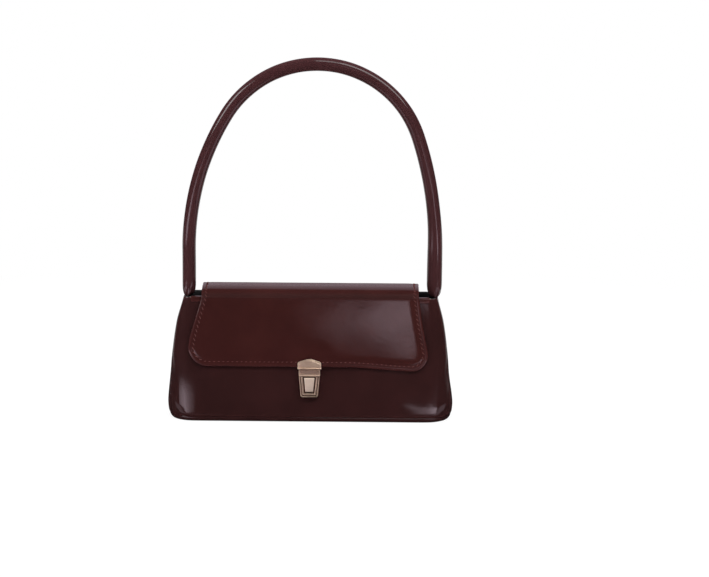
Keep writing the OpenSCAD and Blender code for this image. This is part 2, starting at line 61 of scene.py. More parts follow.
IMAGE_W, IMAGE_H = 709, 577
LOG = logging.getLogger("handbag")
Grid = np.ndarray
Surface = Callable[[Grid, Grid], Grid]
Colour = tuple[float, float, float, float]
Spot = tuple[float, float, float]
Span = tuple[float, float]


def eased(value: Grid, start: float, end: float) -> Grid:
    """Gives 0 before start, 1 after end and a smooth change between.

    Args:
        value: The numbers to look at.
        start: Where the change starts.
        end: Where the change ends.

    Returns:
        A share from 0 to 1 for each number.
    """
    share = np.clip((np.asarray(value, float) - start) / (end - start), 0, 1)
    return share * share * (3 - 2 * share)


def hill(value: Grid, middle: float, width: float) -> Grid:
    """Gives a smooth hill, 1 at its middle and near 0 at twice its width."""
    return np.exp(-(((np.asarray(value, float) - middle) / width) ** 2))


def unevenness(a: Grid, b: Grid, phase: float) -> Grid:
    """Gives the slow unevenness of hand-cut leather, from about -1 to 1.

    Args:
        a: Place across the piece, in millimetres.
        b: Place along the piece, in millimetres.
        phase: A number that makes each piece's unevenness its own.

    Returns:
        The unevenness at each place.
    """
    slow = np.sin(a / 17 + phase) * np.cos(b / 13 + 1.7 * phase)
    middle = 0.6 * np.sin(a / 9.1 - b / 11 + 2.3 * phase)
    quick = 0.3 * np.cos(a / 5.3 + b / 6.1 + 3.1 * phase)
    return (slow + middle + quick) / 1.5


def facing(surface: Surface, a: Grid, b: Grid, sign: float) -> Grid:
    """Gives a surface's outward directions.

    Args:
        surface: The surface, as a function of two coordinates.
        a: First coordinates.
        b: Second coordinates.
        sign: 1 or -1, whichever points out of the piece.

    Returns:
        A direction of length 1 for each place.
    """
    step = 0.05
    across = surface(a + step, b) - surface(a - step, b)
    along = surface(a, b + step) - surface(a, b - step)
    out = np.cross(across, along) * sign
    return out / np.linalg.norm(out, axis=-1, keepdims=True)


def edge_distance(a: Grid, b: Grid, outline: Grid) -> Grid:
    """Gives the distance of places on a flat pattern from its outline.

    Args:
        a: First coordinates of the places.
        b: Second coordinates of the places.
        outline: Points of the open outline, one a row.

    Returns:
        The distance of each place from the nearest stretch.
    """
    places = np.stack(np.broadcast_arrays(a, b), -1)[..., None, :]
    start, reach = outline[:-1], outline[1:] - outline[:-1]
    share = ((places - start) * reach).sum(-1) / (reach * reach).sum(-1)
    near = start + np.clip(share, 0, 1)[..., None] * reach
    return np.sqrt(((places - near) ** 2).sum(-1)).min(-1)


def stood(name: str, data: bpy.types.ID) -> bpy.types.Object:
    """Gives a new object of the scene that holds a mesh, a lamp or a camera."""
    thing = bpy.data.objects.new(name, data)
    bpy.context.scene.collection.objects.link(thing)
    return thing


class Mould:
    """Gathers the points and faces of one piece, in millimetres, and casts it as a mesh."""

    wear_reach = 1.1

    def __init__(self) -> None:
        """Starts empty."""
        self.points: list[Grid] = []
        self.wear: list[Grid] = []
        self.dull: list[Grid] = []
        self.faces: list[tuple[int, ...]] = []
        self.count = 0

    def add(self, points: Grid, faces: list[tuple[int, ...]], wear: Grid | float = 0.0,
            dull: Grid | float = 0.0) -> None:
        """Adds points and the faces between them.

        Args:
            points: The points, one a row.
            faces: The faces, numbered from this call's first point.
            wear: How near to a free edge each point is, from 0 to 1; leather is painted lighter there, for wear
                and as a highlight.
            dull: How dulled each point is, from 0 to 1; on metal it paints tarnish and shade in the grooves.
        """
        points = points.reshape(-1, 3)
        self.points.append(points)
        for marks, value in ((self.wear, wear), (self.dull, dull)):
            marks.append(np.broadcast_to(np.asarray(value, float).reshape(-1), (len(points),)))
        self.faces += [tuple(i + self.count for i in face) for face in faces]
        self.count += len(points)

    def slab(self, outer: Grid, out: Grid, thick: Grid | float, edge: Grid, roll: float = 0.48,
             dull: Grid | float = 0.0) -> None:
        """Adds a sheet of leather or cloth with rolled free edges.

        Args:
            outer: Grid of points on the outer face.
            out: Outward direction at each point.
            thick: Thickness of the sheet.
            edge: Distance of each point from the sheet's free edge.
            roll: Share of the thickness that the edge's rounding has as its radius.
            dull: How dulled each point is.
        """
        rows, cols = outer.shape[:2]
        thick = np.broadcast_to(thick, (rows, cols))
        radius = roll * thick
        to_arc = np.clip(radius - edge, 0, radius)
        drawn = (radius - np.sqrt(np.maximum(radius**2 - to_arc**2, 0)))[..., None]
        top = outer - out * drawn
        low = outer - out * (thick[..., None] - drawn)
        index = np.arange(rows * cols).reshape(rows, cols)
        quads = np.stack([index[:-1, :-1], index[:-1, 1:], index[1:, 1:], index[1:, :-1]], -1).reshape(-1, 4)
        border = np.concatenate([index[0], index[1:, -1], index[-1, -2::-1], index[-2:0:-1, 0]])
        size, around = rows * cols, np.roll(border, -1)
        sides = np.stack([border, around, around + size, border + size], -1)
        faces = [tuple(q) for q in quads[:, ::-1].tolist() + (quads + size).tolist() + sides.tolist()]
        wear = np.broadcast_to(np.exp(-edge / self.wear_reach), (rows, cols)).reshape(-1)
        dull = np.broadcast_to(dull, (rows, cols)).reshape(-1)
        self.add(np.concatenate([top.reshape(-1, 3), low.reshape(-1, 3)]), faces, np.concatenate([wear, wear]),
                 np.concatenate([dull, dull]))

    def rings(self, loops: Grid, joined: bool = False, dull: Grid | float = 0.0) -> None:
        """Adds a tube through closed rings of points.

        Args:
            loops: The rings, each a row of as many points.
            joined: Whether the last ring is joined back to the first; if not, both ends get a face.
            dull: How dulled each ring is; on metal it paints tarnish and shade in the grooves.
        """
        count, sides = loops.shape[:2]
        index = np.arange(count * sides).reshape(count, sides)
        rows = np.concatenate([index, index[:1]]) if joined else index
        turn = np.roll(rows, -1, 1)
        quads = np.stack([rows[:-1], turn[:-1], turn[1:], rows[1:]], -1).reshape(-1, 4)
        faces = [tuple(q) for q in quads.tolist()]
        if not joined:
            faces += [tuple(index[0][::-1].tolist()), tuple(index[-1].tolist())]
        self.add(loops, faces, 0.0, np.repeat(np.broadcast_to(dull, (count,)), sides))

    def cast(self, name: str, material: bpy.types.Material, sharp: float = 180.0) -> bpy.types.Object:
        """Makes the mesh object.

        Args:
            name: Name of the piece.
            material: Its material.
            sharp: Angle in degrees from which an edge is drawn sharp.

        Returns:
            The new object, in metres.
        """
        mesh = bpy.data.meshes.new(name)
        mesh.from_pydata((np.concatenate(self.points) * MM).tolist(), [], self.faces)
        for mark, values in (("wear", self.wear), ("dull", self.dull)):
            layer = mesh.attributes.new(mark, "FLOAT", "POINT")
            layer.data.foreach_set("value", np.concatenate(values).astype(np.float32))
        shaped = bmesh.new()
        shaped.from_mesh(mesh)
        bmesh.ops.recalc_face_normals(shaped, faces=shaped.faces)
        shaped.to_mesh(mesh)
        shaped.free()
        mesh.shade_smooth()
        if sharp < 180:
            mesh.set_sharp_from_angle(angle=math.radians(sharp))
        mesh.materials.append(material)
        return stood(name, mesh)


class Finish(Enum):
    """The finishes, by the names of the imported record's slots."""

    LEATHER = "burgundy_leather"
    # The body's leather: the burgundy leather painted darker, as painted shade on the body, which gets less
    # light than the flap.
    SHADED_LEATHER = "dark_leather"
    LINING = "black_lining"
    BOARD = "stiffener_board"
    PALE_GOLD = "pale_gold_metal"
    BRIGHT_GOLD = "bright_gold_metal"
    STEEL = "spring_steel"
    CORE = "cord_core"


class NodeBench:
    """Adds and joins the shader nodes of one material, or of the world."""

    def __init__(self, name: str, world: bpy.types.World | None = None) -> None:
        """Starts an empty node tree in the world, or in a new material of that name."""
        self.material = world or bpy.data.materials.new(name)
        self.material.use_nodes = True
        self.tree = self.material.node_tree
        self.tree.nodes.clear()

    @cached_property
    def place(self) -> object:
        """The place on the object, in metres."""
        return self.add("ShaderNodeTexCoord").outputs["Object"]

    def add(self, kind: str, sockets: dict | None = None, **settings: object) -> bpy.types.Node:
        """Adds one node.

        Args:
            kind: Blender's name of the node.
            sockets: A value or an output to join for each input.
            settings: The node's own settings.

        Returns:
            The new node.
        """
        node = self.tree.nodes.new(kind)
        for key, value in settings.items():
            setattr(node, key, value)
        for key, value in (sockets or {}).items():
            if isinstance(value, bpy.types.NodeSocket):
                self.tree.links.new(value, node.inputs[key])
            else:
                node.inputs[key].default_value = value
        return node

    def noise(self, scale: float, detail: float = 3.0, stretch: Spot = (1, 1, 1)) -> object:
        """Gives the output of a noise texture, stretched where asked."""
        place = self.place
        if stretch != (1, 1, 1):
            place = self.add("ShaderNodeMapping", {"Vector": place, "Scale": stretch}).outputs["Vector"]
        sockets = {"Vector": place, "Scale": scale, "Detail": detail}
        return self.add("ShaderNodeTexNoise", sockets).outputs["Fac"]

    def bands(self, place: object, scale: float, waver: float, direction: str) -> object:
        """Gives the output of a texture of soft bands.

        Args:
            place: The place on the object.
            scale: How many bands there are in a metre.
            waver: How much they waver.
            direction: Blender's name of their direction.

        Returns:
            The texture's output.
        """
        sockets = {"Vector": place, "Scale": scale, "Distortion": waver}
        return self.add("ShaderNodeTexWave", sockets, bands_direction=direction).outputs["Fac"]

    def mark(self, name: str) -> object:
        """Gives a mark that the piece's points carry, such as wear."""
        return self.add("ShaderNodeAttribute", attribute_name=name).outputs["Fac"]

    def sum(self, operation: str, first: object, second: object) -> object:
        """Gives the result of a sum with two values."""
        return self.add("ShaderNodeMath", {0: first, 1: second}, operation=operation).outputs[0]

    def seen_or_mirrored(self) -> object:
        """Gives 1 to the eye, to reflections and through glass, and 0 to the light that falls on things."""
        path = self.add("ShaderNodeLightPath").outputs
        seen = self.sum("MAXIMUM", path["Is Camera Ray"], path["Is Glossy Ray"])
        return self.sum("MAXIMUM", seen, path["Is Transmission Ray"])

    def spread(self, value: object, low: float, high: float, to_low: float, to_high: float) -> object:
        """Gives a value spread from one range to another."""
        sockets = {"Value": value, "From Min": low, "From Max": high, "To Min": to_low, "To Max": to_high}
        return self.add("ShaderNodeMapRange", sockets).outputs["Result"]

    def blend(self, share: object, first: object, second: object) -> object:
        """Gives a mix of two colours."""
        mix = self.add("ShaderNodeMix", {0: share, 6: first, 7: second}, data_type="RGBA")
        return mix.outputs[2]

    def bump(self, height: object, strength: float, distance: float, under: object | None = None) -> object:
        """Gives a normal with a bump on it.

        Args:
            height: The bump's height.
            strength: Its strength.
            distance: Its depth, in metres.
            under: The normal below, if there is one.

        Returns:
            The new normal.
        """
        sockets = {"Height": height, "Strength": strength, "Distance": distance}
        if under is not None:
            sockets["Normal"] = under
        return self.add("ShaderNodeBump", sockets).outputs["Normal"]

    def close(self, sockets: dict) -> bpy.types.Material:
        """Adds the Principled shader and the output, and gives the material."""
        shader = self.add("ShaderNodeBsdfPrincipled", sockets)
        self.add("ShaderNodeOutputMaterial", {"Surface": shader.outputs["BSDF"]})
        return self.material


@dataclass(frozen=True)
class LeatherFinish:
    """Smooth glossy leather with fine pores, soft creases, and edges painted lighter for wear and as a
    highlight.
    """

    slot: Finish
    colour: Colour = (0.0275, 0.0066, 0.0058, 1)
    deep: Colour = (0.0222, 0.0052, 0.0047, 1)
    worn_and_highlight: Colour = (0.070, 0.021, 0.021, 1)
    wear_and_highlight_share: float = 0.4
    coat: float = 0.7
    dull_coat: float = 0.08
    coat_roughness: float = 0.07
    dull_coat_roughness: float = 0.5
    roughness: float = 0.45
    cloud_scale: float = 38
    fleck_scale: float = 1500
    crease_scale: float = 230
    pore_scale: float = 1350

    def make(self) -> bpy.types.Material:
        """Makes the material and gives it."""
        bench = NodeBench(self.slot.value)
        cloud = bench.spread(bench.noise(self.cloud_scale, 4), 0.35, 0.68, 0, 1)
        fleck = bench.spread(bench.noise(self.fleck_scale, 2), 0.3, 0.7, 0, 0.25)
        body = bench.blend(cloud, self.deep, self.colour)
        body = bench.blend(fleck, body, self.deep)
        dull = bench.mark("dull")
        patchy = bench.spread(bench.noise(420, 3), 0.25, 0.6, 0.45, 1)
        # Edges painted lighter: wear, and a painted highlight on the rolled rim.
        share = bench.sum("MULTIPLY", bench.sum("MULTIPLY", bench.mark("wear"), patchy), self.wear_and_highlight_share)
        pored = {"Vector": bench.place, "Scale": self.pore_scale}
        pores = bench.add("ShaderNodeTexVoronoi", pored).outputs["Distance"]
        rough = bench.noise(95, 3)
        normal = bench.bump(bench.noise(self.crease_scale, 5), 0.05, 0.0004)
        normal = bench.bump(pores, 0.06, 0.00012, normal)
        return bench.close({
            "Base Color": bench.blend(share, body, self.worn_and_highlight),
            "Roughness": bench.spread(rough, 0.3, 0.7, self.roughness - 0.05, self.roughness + 0.07),
            "Specular IOR Level": 0.02,
            "Coat Weight": bench.spread(dull, 0, 1, self.coat, self.dull_coat),
            "Coat Roughness": bench.spread(dull, 0, 1, self.coat_roughness, self.dull_coat_roughness),
            "Coat IOR": 1.42,
            "Normal": normal,
            "Coat Normal": normal,
        })


@dataclass(frozen=True)
class ThreadFinish:
    """Twisted sewing thread in the leather's colour, a little lighter and matt."""

    name: str = "burgundy_thread"
    colour: Colour = (0.105, 0.034, 0.032, 1)
    twist: Colour = (0.060, 0.018, 0.017, 1)
    ply_scale: float = 900

    def make(self) -> bpy.types.Material:
        """Makes the material and gives it."""
        bench = NodeBench(self.name)
        plies = bench.bands(bench.place, self.ply_scale, 1.0, "DIAGONAL")
        return bench.close({
            "Base Color": bench.blend(plies, self.twist, self.colour),
            "Roughness": bench.spread(bench.noise(700, 2), 0.3, 0.7, 0.6, 0.8),
            "Specular IOR Level": 0.1,
            "Sheen Weight": 0.05,
            "Normal": bench.bump(plies, 0.3, 0.0001),
        })


@dataclass(frozen=True)
class ClothFinish:
    """Fine black twill of the lining."""

    slot: Finish
    colour: Colour = (0.0075, 0.0072, 0.0078, 1)
    raised: Colour = (0.021, 0.020, 0.022, 1)
    threads: float = 520.0
    twill_turn: Spot = (0.7, 0.5, 0.9)

    def make(self) -> bpy.types.Material:
        """Makes the material and gives it."""
        bench = NodeBench(self.slot.value)
        across = bench.bands(bench.place, self.threads, 0.6, "X")
        turned = bench.add("ShaderNodeMapping", {"Vector": bench.place, "Rotation": self.twill_turn})
        twill = bench.bands(turned.outputs["Vector"], self.threads, 0.5, "Z")
        weave = bench.sum("MULTIPLY", across, twill)
        tone = bench.blend(weave, self.colour, self.raised)
        tone = bench.blend(bench.spread(bench.noise(55, 3), 0.35, 0.75, 0, 0.5), tone, self.raised)
        return bench.close({
            "Base Color": tone,
            "Roughness": bench.spread(bench.noise(300, 2), 0.3, 0.7, 0.72, 0.9),
            "Specular IOR Level": 0.18,
            "Sheen Weight": 0.12,
            "Sheen Roughness": 0.5,
            "Normal": bench.bump(weave, 0.35, 0.0002),
        })


@dataclass(frozen=True)
class MetalFinish:
    """Plated metal with a fine brushed grain, slightly dulled patches, and tarnish with painted shade in its
    grooves.
    """

    slot: Finish
    colour: Colour
    shade: Colour
    roughness: float = 0.24
    tarnish_and_shade: Colour = (0.13, 0.080, 0.060, 1)
    grain_scale: float = 1800
    grain_stretch: Spot = (0.06, 1, 1)
    patch_scale: float = 240

    def make(self) -> bpy.types.Material:
        """Makes the material and gives it."""
        bench = NodeBench(self.slot.value)
        brushed = bench.noise(self.grain_scale, 2, self.grain_stretch)
        dulled = bench.noise(self.patch_scale, 4)
        tone = bench.blend(bench.spread(dulled, 0.35, 0.7, 0, 0.6), self.colour, self.shade)
        tone = bench.blend(bench.spread(brushed, 0.35, 0.65, 0, 0.35), tone, self.shade)
        tone = bench.blend(bench.mark("wear"), tone, self.colour)
        return bench.close({
            # Where the points are dulled, the colour takes tarnish and painted groove shade.
            "Base Color": bench.blend(bench.mark("dull"), tone, self.tarnish_and_shade),
            "Metallic": 1.0,
            "Roughness": bench.spread(dulled, 0.3, 0.7, self.roughness - 0.05, self.roughness + 0.09),
            "Normal": bench.bump(brushed, 0.10, 0.00006),
        })


@dataclass(frozen=True)
class FibreFinish:
    """Pressed fibre board, or the cotton of the handle's core."""

    slot: Finish
    colour: Colour
    fibre: Colour
    scale: float = 600.0
    stretch: Spot = (0.25, 1, 1)

    def make(self) -> bpy.types.Material:
        """Makes the material and gives it."""
        bench = NodeBench(self.slot.value)
        fibres = bench.noise(self.scale, 4, self.stretch)
        return bench.close({
            "Base Color": bench.blend(bench.spread(fibres, 0.3, 0.7, 0, 1), self.colour, self.fibre),
            "Roughness": bench.spread(fibres, 0.3, 0.7, 0.75, 0.92),
            "Specular IOR Level": 0.2,
            "Normal": bench.bump(fibres, 0.3, 0.0003),
        })


class Wardrobe:
    """Holds the materials, and dresses the solids that stay."""

    soft_edge = 0.12
    soft_steps = 2

    def __init__(self) -> None:
        """Makes every finish."""
        makers = [
            LeatherFinish(Finish.LEATHER),
            # The body's leather: painted shade, darker than the flap's leather, with less lightening at its
            # edges.
            LeatherFinish(Finish.SHADED_LEATHER, (0.0208, 0.0062, 0.0061, 1), (0.0165, 0.0050, 0.0049, 1),
                          wear_and_highlight_share=0.3, roughness=0.47),
            ClothFinish(Finish.LINING),
            FibreFinish(Finish.BOARD, (0.17, 0.14, 0.11, 1), (0.28, 0.24, 0.19, 1)),
            MetalFinish(Finish.PALE_GOLD, (0.80, 0.62, 0.46, 1), (0.62, 0.47, 0.35, 1), 0.40),
            MetalFinish(Finish.BRIGHT_GOLD, (0.85, 0.72, 0.59, 1), (0.82, 0.68, 0.55, 1), 0.53),
            MetalFinish(Finish.STEEL, (0.56, 0.56, 0.58, 1), (0.38, 0.38, 0.4, 1), 0.3),
            FibreFinish(Finish.CORE, (0.48, 0.45, 0.38, 1), (0.62, 0.59, 0.52, 1), 900.0),
        ]
        self.materials = {maker.slot: maker.make() for maker in makers}
        self.thread = ThreadFinish().make()
        # The handle's leather is painted lighter than the flap's, as a painted sheen of the pale surroundings.
        self.handle = LeatherFinish(Finish.LEATHER, (0.0370, 0.0125, 0.0135, 1),
                                    (0.0320, 0.0105, 0.0115, 1)).make()

    def cast(self, mould: Mould, name: str, finish: Finish, sharp: float = 180.0) -> bpy.types.Object:
        """Casts a piece in a finish."""
        piece = mould.cast(name, self.materials[finish], sharp)
        return piece

    def match(self, mould: Mould, name: str, material: bpy.types.Material) -> bpy.types.Object:
        """Casts a piece in a variant of the main leather's finish."""
        piece = mould.cast(name, material)
        return piece

    def dress_solids(self) -> None:
        """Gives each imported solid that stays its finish, and softens the edges of the metal ones."""
        slots = {row["node"]: row["material_slot"] for row in frame["record"]["subparts"]}
        for node, solid in frame["nodes"].items():
            finish = Finish(slots[node])
            solid.data.materials.clear()
            solid.data.materials.append(self.materials[finish])
            if finish in (Finish.PALE_GOLD, Finish.BRIGHT_GOLD, Finish.STEEL):
                soften = solid.modifiers.new("soft_edges", "BEVEL")
                soften.width = self.soft_edge * MM
                soften.segments = self.soft_steps
                soften.limit_method = "ANGLE"
                soften.harden_normals = False


class Side(Enum):
    """The four sides of the body."""

    FRONT = "front"
    BACK = "back"
    LEFT = "left"
    RIGHT = "right"

    @property
    def is_gusset(self) -> bool:
        """Whether it is one of the two end sides."""
        return self in (Side.LEFT, Side.RIGHT)


@dataclass
class BodyForm:
    """The flared form that the leather, boards and lining share, in millimetres."""

    base_w: float = 240
    base_d: float = 90
    rim_z: float = 102
    rim_w: float = 219
    rim_d: float = 40
    bow: float = 3
    base_corner_r: float = 20
    rim_corner_r: float = 7
    base_edge_r: float = 3
    corner_ease: float = 0.42
    left_flare: float = 1.5
    right_flare: float = 2.6
    foot_tuck: float = 2.5
    left_draw: float = 1.2
    right_draw: float = 0.7

    @property
    def slope(self) -> float:
        """Lean of the front and back, in radians."""
        return math.atan((self.base_d - self.rim_d) / 2 / (self.rim_z - self.base_edge_r))

    @property
    def foot(self) -> float:
        """Depth from the middle that the leaning front would reach at the floor."""
        return self.base_d / 2 + self.base_edge_r * math.tan(self.slope)

    def half_w(self, z: Grid) -> Grid:
        """Half of the width at a height."""
        return self.base_w / 2 - (self.base_w - self.rim_w) / 2 * (np.maximum(z, 0) / self.rim_z) ** self.bow

    def half_d(self, z: Grid) -> Grid:
        """Half of the depth at a height."""
        return self.foot - z * math.tan(self.slope)

    def corner_r(self, z: Grid) -> Grid:
        """Corner radius at a height, seen from above."""
        return self.base_corner_r + (self.rim_corner_r - self.base_corner_r) * z / self.rim_z

    def half_row(self, z: Grid, side: Side, share: Grid | float = 0.5) -> Grid:
        """Gives half of a side's level line.

        Args:
            z: Height.
            side: Which side.
            share: Share of the corner's turn that belongs to the front or back.

        Returns:
            The length from the side's middle to the seam in its corner.
        """
        reach = self.half_d(z) if side.is_gusset else self.half_w(z)
        own = 1 - share if side.is_gusset else share
        return reach - self.corner_r(z) + self.corner_r(z) * math.pi / 2 * own

    def turn(self, s: Grid, z: Grid, side: Side) -> Grid:
        """Gives how far round its corner a place is, from 0 at the front or back to 1 at the end."""
        reach = self.half_d(z) if side.is_gusset else self.half_w(z)
        own = np.clip((np.abs(s) - reach + self.corner_r(z)) / self.corner_r(z) / (math.pi / 2), 0, 1)
        return 1 - own if side.is_gusset else own

    def flare(self, s: Grid, z: Grid, side: Side) -> Grid:
        """Gives how far the soft ends of the body stand out near the foot."""
        right = {Side.FRONT: np.sign(s), Side.BACK: -np.sign(s), Side.LEFT: -1.0, Side.RIGHT: 1.0}[side]
        low = np.where(right > 0, self.right_flare, self.left_flare) * (1 - eased(z, 10, 42))
        tuck = self.foot_tuck * (1 - eased(z, -2.5, 7.5))
        drawn = np.where(right > 0, self.right_draw, self.left_draw) * eased(z, 80, 100)
        return (low - tuck - drawn) * eased(self.turn(s, z, side), 0.35, 1.0)

    def place(self, s: Grid, z: Grid, side: Side, depth: Grid | float = 0.0) -> Grid:
        """Gives a place on a side of the body, whose corners ease into its flat sides.

        Args:
            s: Way along the level line from the side's middle.
            z: Height.
            side: Which side.
            depth: Depth under the leather's outer face; below zero is outside.

        Returns:
            The place, in millimetres.
        """
        s, z, depth = np.broadcast_arrays(s, z, depth)
        reach = self.corner_ease * self.corner_r(z)
        spots = [self.sharp_place(s + share * reach, z, side, depth) for share in np.linspace(-1, 1, 7)]
        return sum(spots) / len(spots)

    def sharp_place(self, s: Grid, z: Grid, side: Side, depth: Grid) -> Grid:
        """Gives a place on a side whose corners are plain arcs.

        Args:
            s: Way along the level line from the side's middle.
            z: Height.
            side: Which side.
            depth: Depth under the leather's outer face; below zero is outside.

        Returns:
            The place, in millimetres.
        """
        wide, deep = self.half_w(z), self.half_d(z)
        if side.is_gusset:
            wide, deep = deep, wide
        radius = self.corner_r(z)
        inset = depth / math.cos(self.slope)
        straight = wide - radius
        past = np.maximum(np.abs(s) - straight, 0)
        turn = np.minimum(past / radius, math.pi / 2)
        along = np.sign(s) * (np.minimum(np.abs(s), straight) + (radius - inset) * np.sin(turn))
        out = deep - radius + (radius - inset) * np.cos(turn) - np.maximum(past - radius * math.pi / 2, 0)
        spots = {Side.FRONT: (along, -out), Side.BACK: (-along, out), Side.RIGHT: (out, along),
                 Side.LEFT: (-out, -along)}
        return np.stack([*spots[side], z], -1)

    def on_front(self, x: Grid, u: Grid, n: Grid) -> Grid:
        """Gives a place on the front slope: x across, u up the slope, n out of the leather."""
        x, u, n = np.broadcast_arrays(x, u, n)
        sin, cos = math.sin(self.slope), math.cos(self.slope)
        return np.stack([x, -self.foot + u * sin - n * cos, u * cos + n * sin], -1)


BODY = BodyForm()
EDGE_OFFSETS = np.array([0, 0.06, 0.2, 0.42, 0.7, 1.1, 1.6, 2.2, 2.9, 3.7])
HEM_OFFSETS = np.array([0, 0.07, 0.25, 0.55, 0.95, 1.4, 1.9, 2.5, 3.1, 3.5, 3.8, 4.1, 4.4, 4.8, 5.3, 5.9, 6.6,
                        8])


def spaced(low: float, high: float, count: int, both: bool = True) -> Grid:
    """Gives places from low to high that crowd near the free edges.

    Args:
        low: First place.
        high: Last place.
        count: How many evenly spaced places lie between the crowded ones.
        both: Whether the low end is a free edge too.

    Returns:
        The places, rising.
    """
    start = low + EDGE_OFFSETS if both else np.array([low])
    end = high - EDGE_OFFSETS[::-1]
    return np.concatenate([start, np.linspace(start[-1], end[0], count + 2)[1:-1], end])


def rows_of(half: Grid, count: int) -> Grid:
    """Gives the places along level lines that crowd near both ends and near the corners.

    Args:
        half: Half length of each line, one a row.
        count: How many places lie between the crowded ones on each half.

    Returns:
        The places, one line a row.
    """
    share = np.linspace(0, 1, count + 1)
    share = 0.45 * share + 0.55 * (1 - (1 - share) ** 1.8)
    share = np.concatenate([-share[:0:-1], share])
    inner = half - EDGE_OFFSETS[-1]
    left = -(half - EDGE_OFFSETS[:-1])
    return np.concatenate([left, share * inner, -left[:, ::-1]], 1)


@dataclass
class Shell:
    """The leather shell: two panels, two gussets, the base tray and the binding on the front rim."""

    wardrobe: Wardrobe
    leather_t: float = 1.4
    seam_gap: float = 0.05
    seam_roll: float = 0.26
    seam_share_low: float = 0.86
    seam_share_rim: float = 0.58
    panel_low: float = 4.15
    belly: float = 1.0
    relief: float = 0.09
    foot_roll: float = 1.0
    gusset_sink: float = 1.5
    tab_half: float = 9
    rim_dip: float = 1.7
    rim_fold_t: float = 0.7
    binding_half: float = 101.5
    binding_t: float = 0.6
    binding_low: float = 98.4
    binding_bend: float = 1.1
    wall_top: float = 102.1
    depth_of_lining: float = 3.4
    cloth_t: float = 0.6
    play: float = 0.1

    def seam_share(self, z: Grid) -> Grid:
        """Gives how far round the corner the seam lies at a height."""
        gain = self.seam_share_rim - self.seam_share_low
        return self.seam_share_low + gain * np.clip(z / BODY.rim_z, 0, 1)

    def rolled_in(self, s: Grid, z: Grid, side: Side) -> Grid:
        """Gives how far the foot is rolled in, which is most round the corners."""
        round_corner = 0.25 + 0.75 * eased(BODY.turn(s, z, side), 0.0, 0.5)
        return self.foot_roll * (1 - eased(z, 2, 15)) * round_corner

    def outside(self, side: Side) -> Surface:
        """Gives the outer face of a panel or gusset, with its belly, its welted seams and its unevenness.

        Args:
            side: Which side.

        Returns:
            The face as a function of the way along the level line and the height.
        """
        phase = {Side.FRONT: 0.4, Side.BACK: 2.2, Side.LEFT: 3.9, Side.RIGHT: 5.3}[side]

        def surface(s: Grid, z: Grid) -> Grid:
            """Gives the outer face.

            Args:
                s: Way along the level line from the side's middle.
                z: Height.

            Returns:
                The place of each point.
            """
            half = BODY.half_row(z, side, self.seam_share(z))
            seam = half - np.abs(s)
            share = np.clip((z - self.panel_low) / (BODY.rim_z - self.panel_low), 0, 1)
            calm = eased(seam, 1, 12) * eased(z, 5, 16) * (1 - eased(z, 90, 101))
            swell = self.welt(seam) + self.relief * unevenness(s, z, phase) * calm
            swell = swell - 0.35 * hill(z, self.panel_low, 1.2) - self.rolled_in(s, z, side)
            swell = swell + BODY.flare(s, z, side)
            if side.is_gusset:
                swell = swell - self.gusset_sink * hill(s, 0, 15) * np.sin(math.pi * share) ** 1.5
                swell = swell + 0.8 * hill(s, 0, 8) * eased(z, 92, 101)
                z = z - self.rim_dip * hill(s, 0, self.tab_half) * eased(z, 60, 102)
            else:
                lock = 1 - hill(s, 0, 22) * (side is Side.FRONT)
                swell = swell + self.belly * np.sin(math.pi * share) * eased(seam, 4, 45) * lock
            return BODY.place(s, z, side, -swell)

        return surface

    @staticmethod
    def welt(seam: Grid) -> Grid:
        """Gives how far the turned leather stands up beside a seam."""
        return 0.10 * hill(seam, 1.4, 1.2) - 0.03 * hill(seam, 3.4, 0.7)

    def side(self, side: Side, name: str, node: str) -> None:
        """Makes one panel or gusset.

        Args:
            side: Which side.
            name: Name of the piece.
            node: The solid it stands for.
        """
        z = spaced(self.panel_low, BODY.rim_z, 44)[:, None]
        half = BODY.half_row(z, side, self.seam_share(z)) - self.seam_gap
        s = rows_of(half, 18 if side.is_gusset else 66)
        z = np.broadcast_to(z, s.shape)
        edge = np.minimum(half - np.abs(s), np.minimum(z - self.panel_low, BODY.rim_z - z))
        surface = self.outside(side)
        thick = self.leather_t
        if side.is_gusset:
            thick = thick + self.rim_fold_t * eased(z, 95, 101) * (1 - hill(s, 0, self.tab_half))
        mould = Mould()
        mould.slab(surface(s, z), facing(surface, s, z, 1), thick, edge, self.seam_roll)
        # Panels and gussets take the leather with painted shade.
        piece = self.wardrobe.cast(mould, name, Finish.SHADED_LEATHER)
        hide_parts(node)
        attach(piece, "root")

    def base(self) -> None:
        """Makes the base tray with its rounded, turned-up edge, and the stiffener that lies in it."""
        r, t = BODY.base_edge_r, self.leather_t
        lip_z, lip_r = 3.62, 0.42
        bend = np.linspace(0, math.pi / 2, 9)
        tray = [(0.02, r + 6.0), (0.0, r + 3.0)]
        tray += [(r * (1 - math.cos(a)), r * (1 - math.sin(a))) for a in bend]
        over = np.linspace(0, math.pi, 9)
        tray += [(lip_z + lip_r * math.sin(a), t / 2 - t / 2 * math.cos(a)) for a in over]
        tray += [(2.6, t), (1.8, t + 0.25), (t, t + 1.0), (t, t + 3.0)]
        stiffener = [(1.5, t + 0.75), (1.55, t + 0.65), (3.1, t + 0.2), (3.3, t + 0.3)]
        share = np.sin(np.linspace(-math.pi / 2, math.pi / 2, 41)[:-1])
        loops = []
        for z, depth in tray + stiffener:
            loop = []
            for side in (Side.RIGHT, Side.BACK, Side.LEFT, Side.FRONT):
                s = share * BODY.half_row(z, side)
                inward = depth + self.rolled_in(s, z, side) - BODY.flare(s, z, side)
                loop.append(BODY.place(s, z, side, inward))
            loops.append(np.concatenate(loop))
        for name, node, finish, rings in (
            ("base_tray", "base_panel", Finish.SHADED_LEATHER, loops[:len(tray)]),
            ("base_stiffener", "base_board", Finish.BOARD, loops[len(tray):]),
        ):
            mould = Mould()
            mould.rings(np.array(rings))
            piece = self.wardrobe.cast(mould, name, finish, 40)
            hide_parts(node)
            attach(piece, "root")

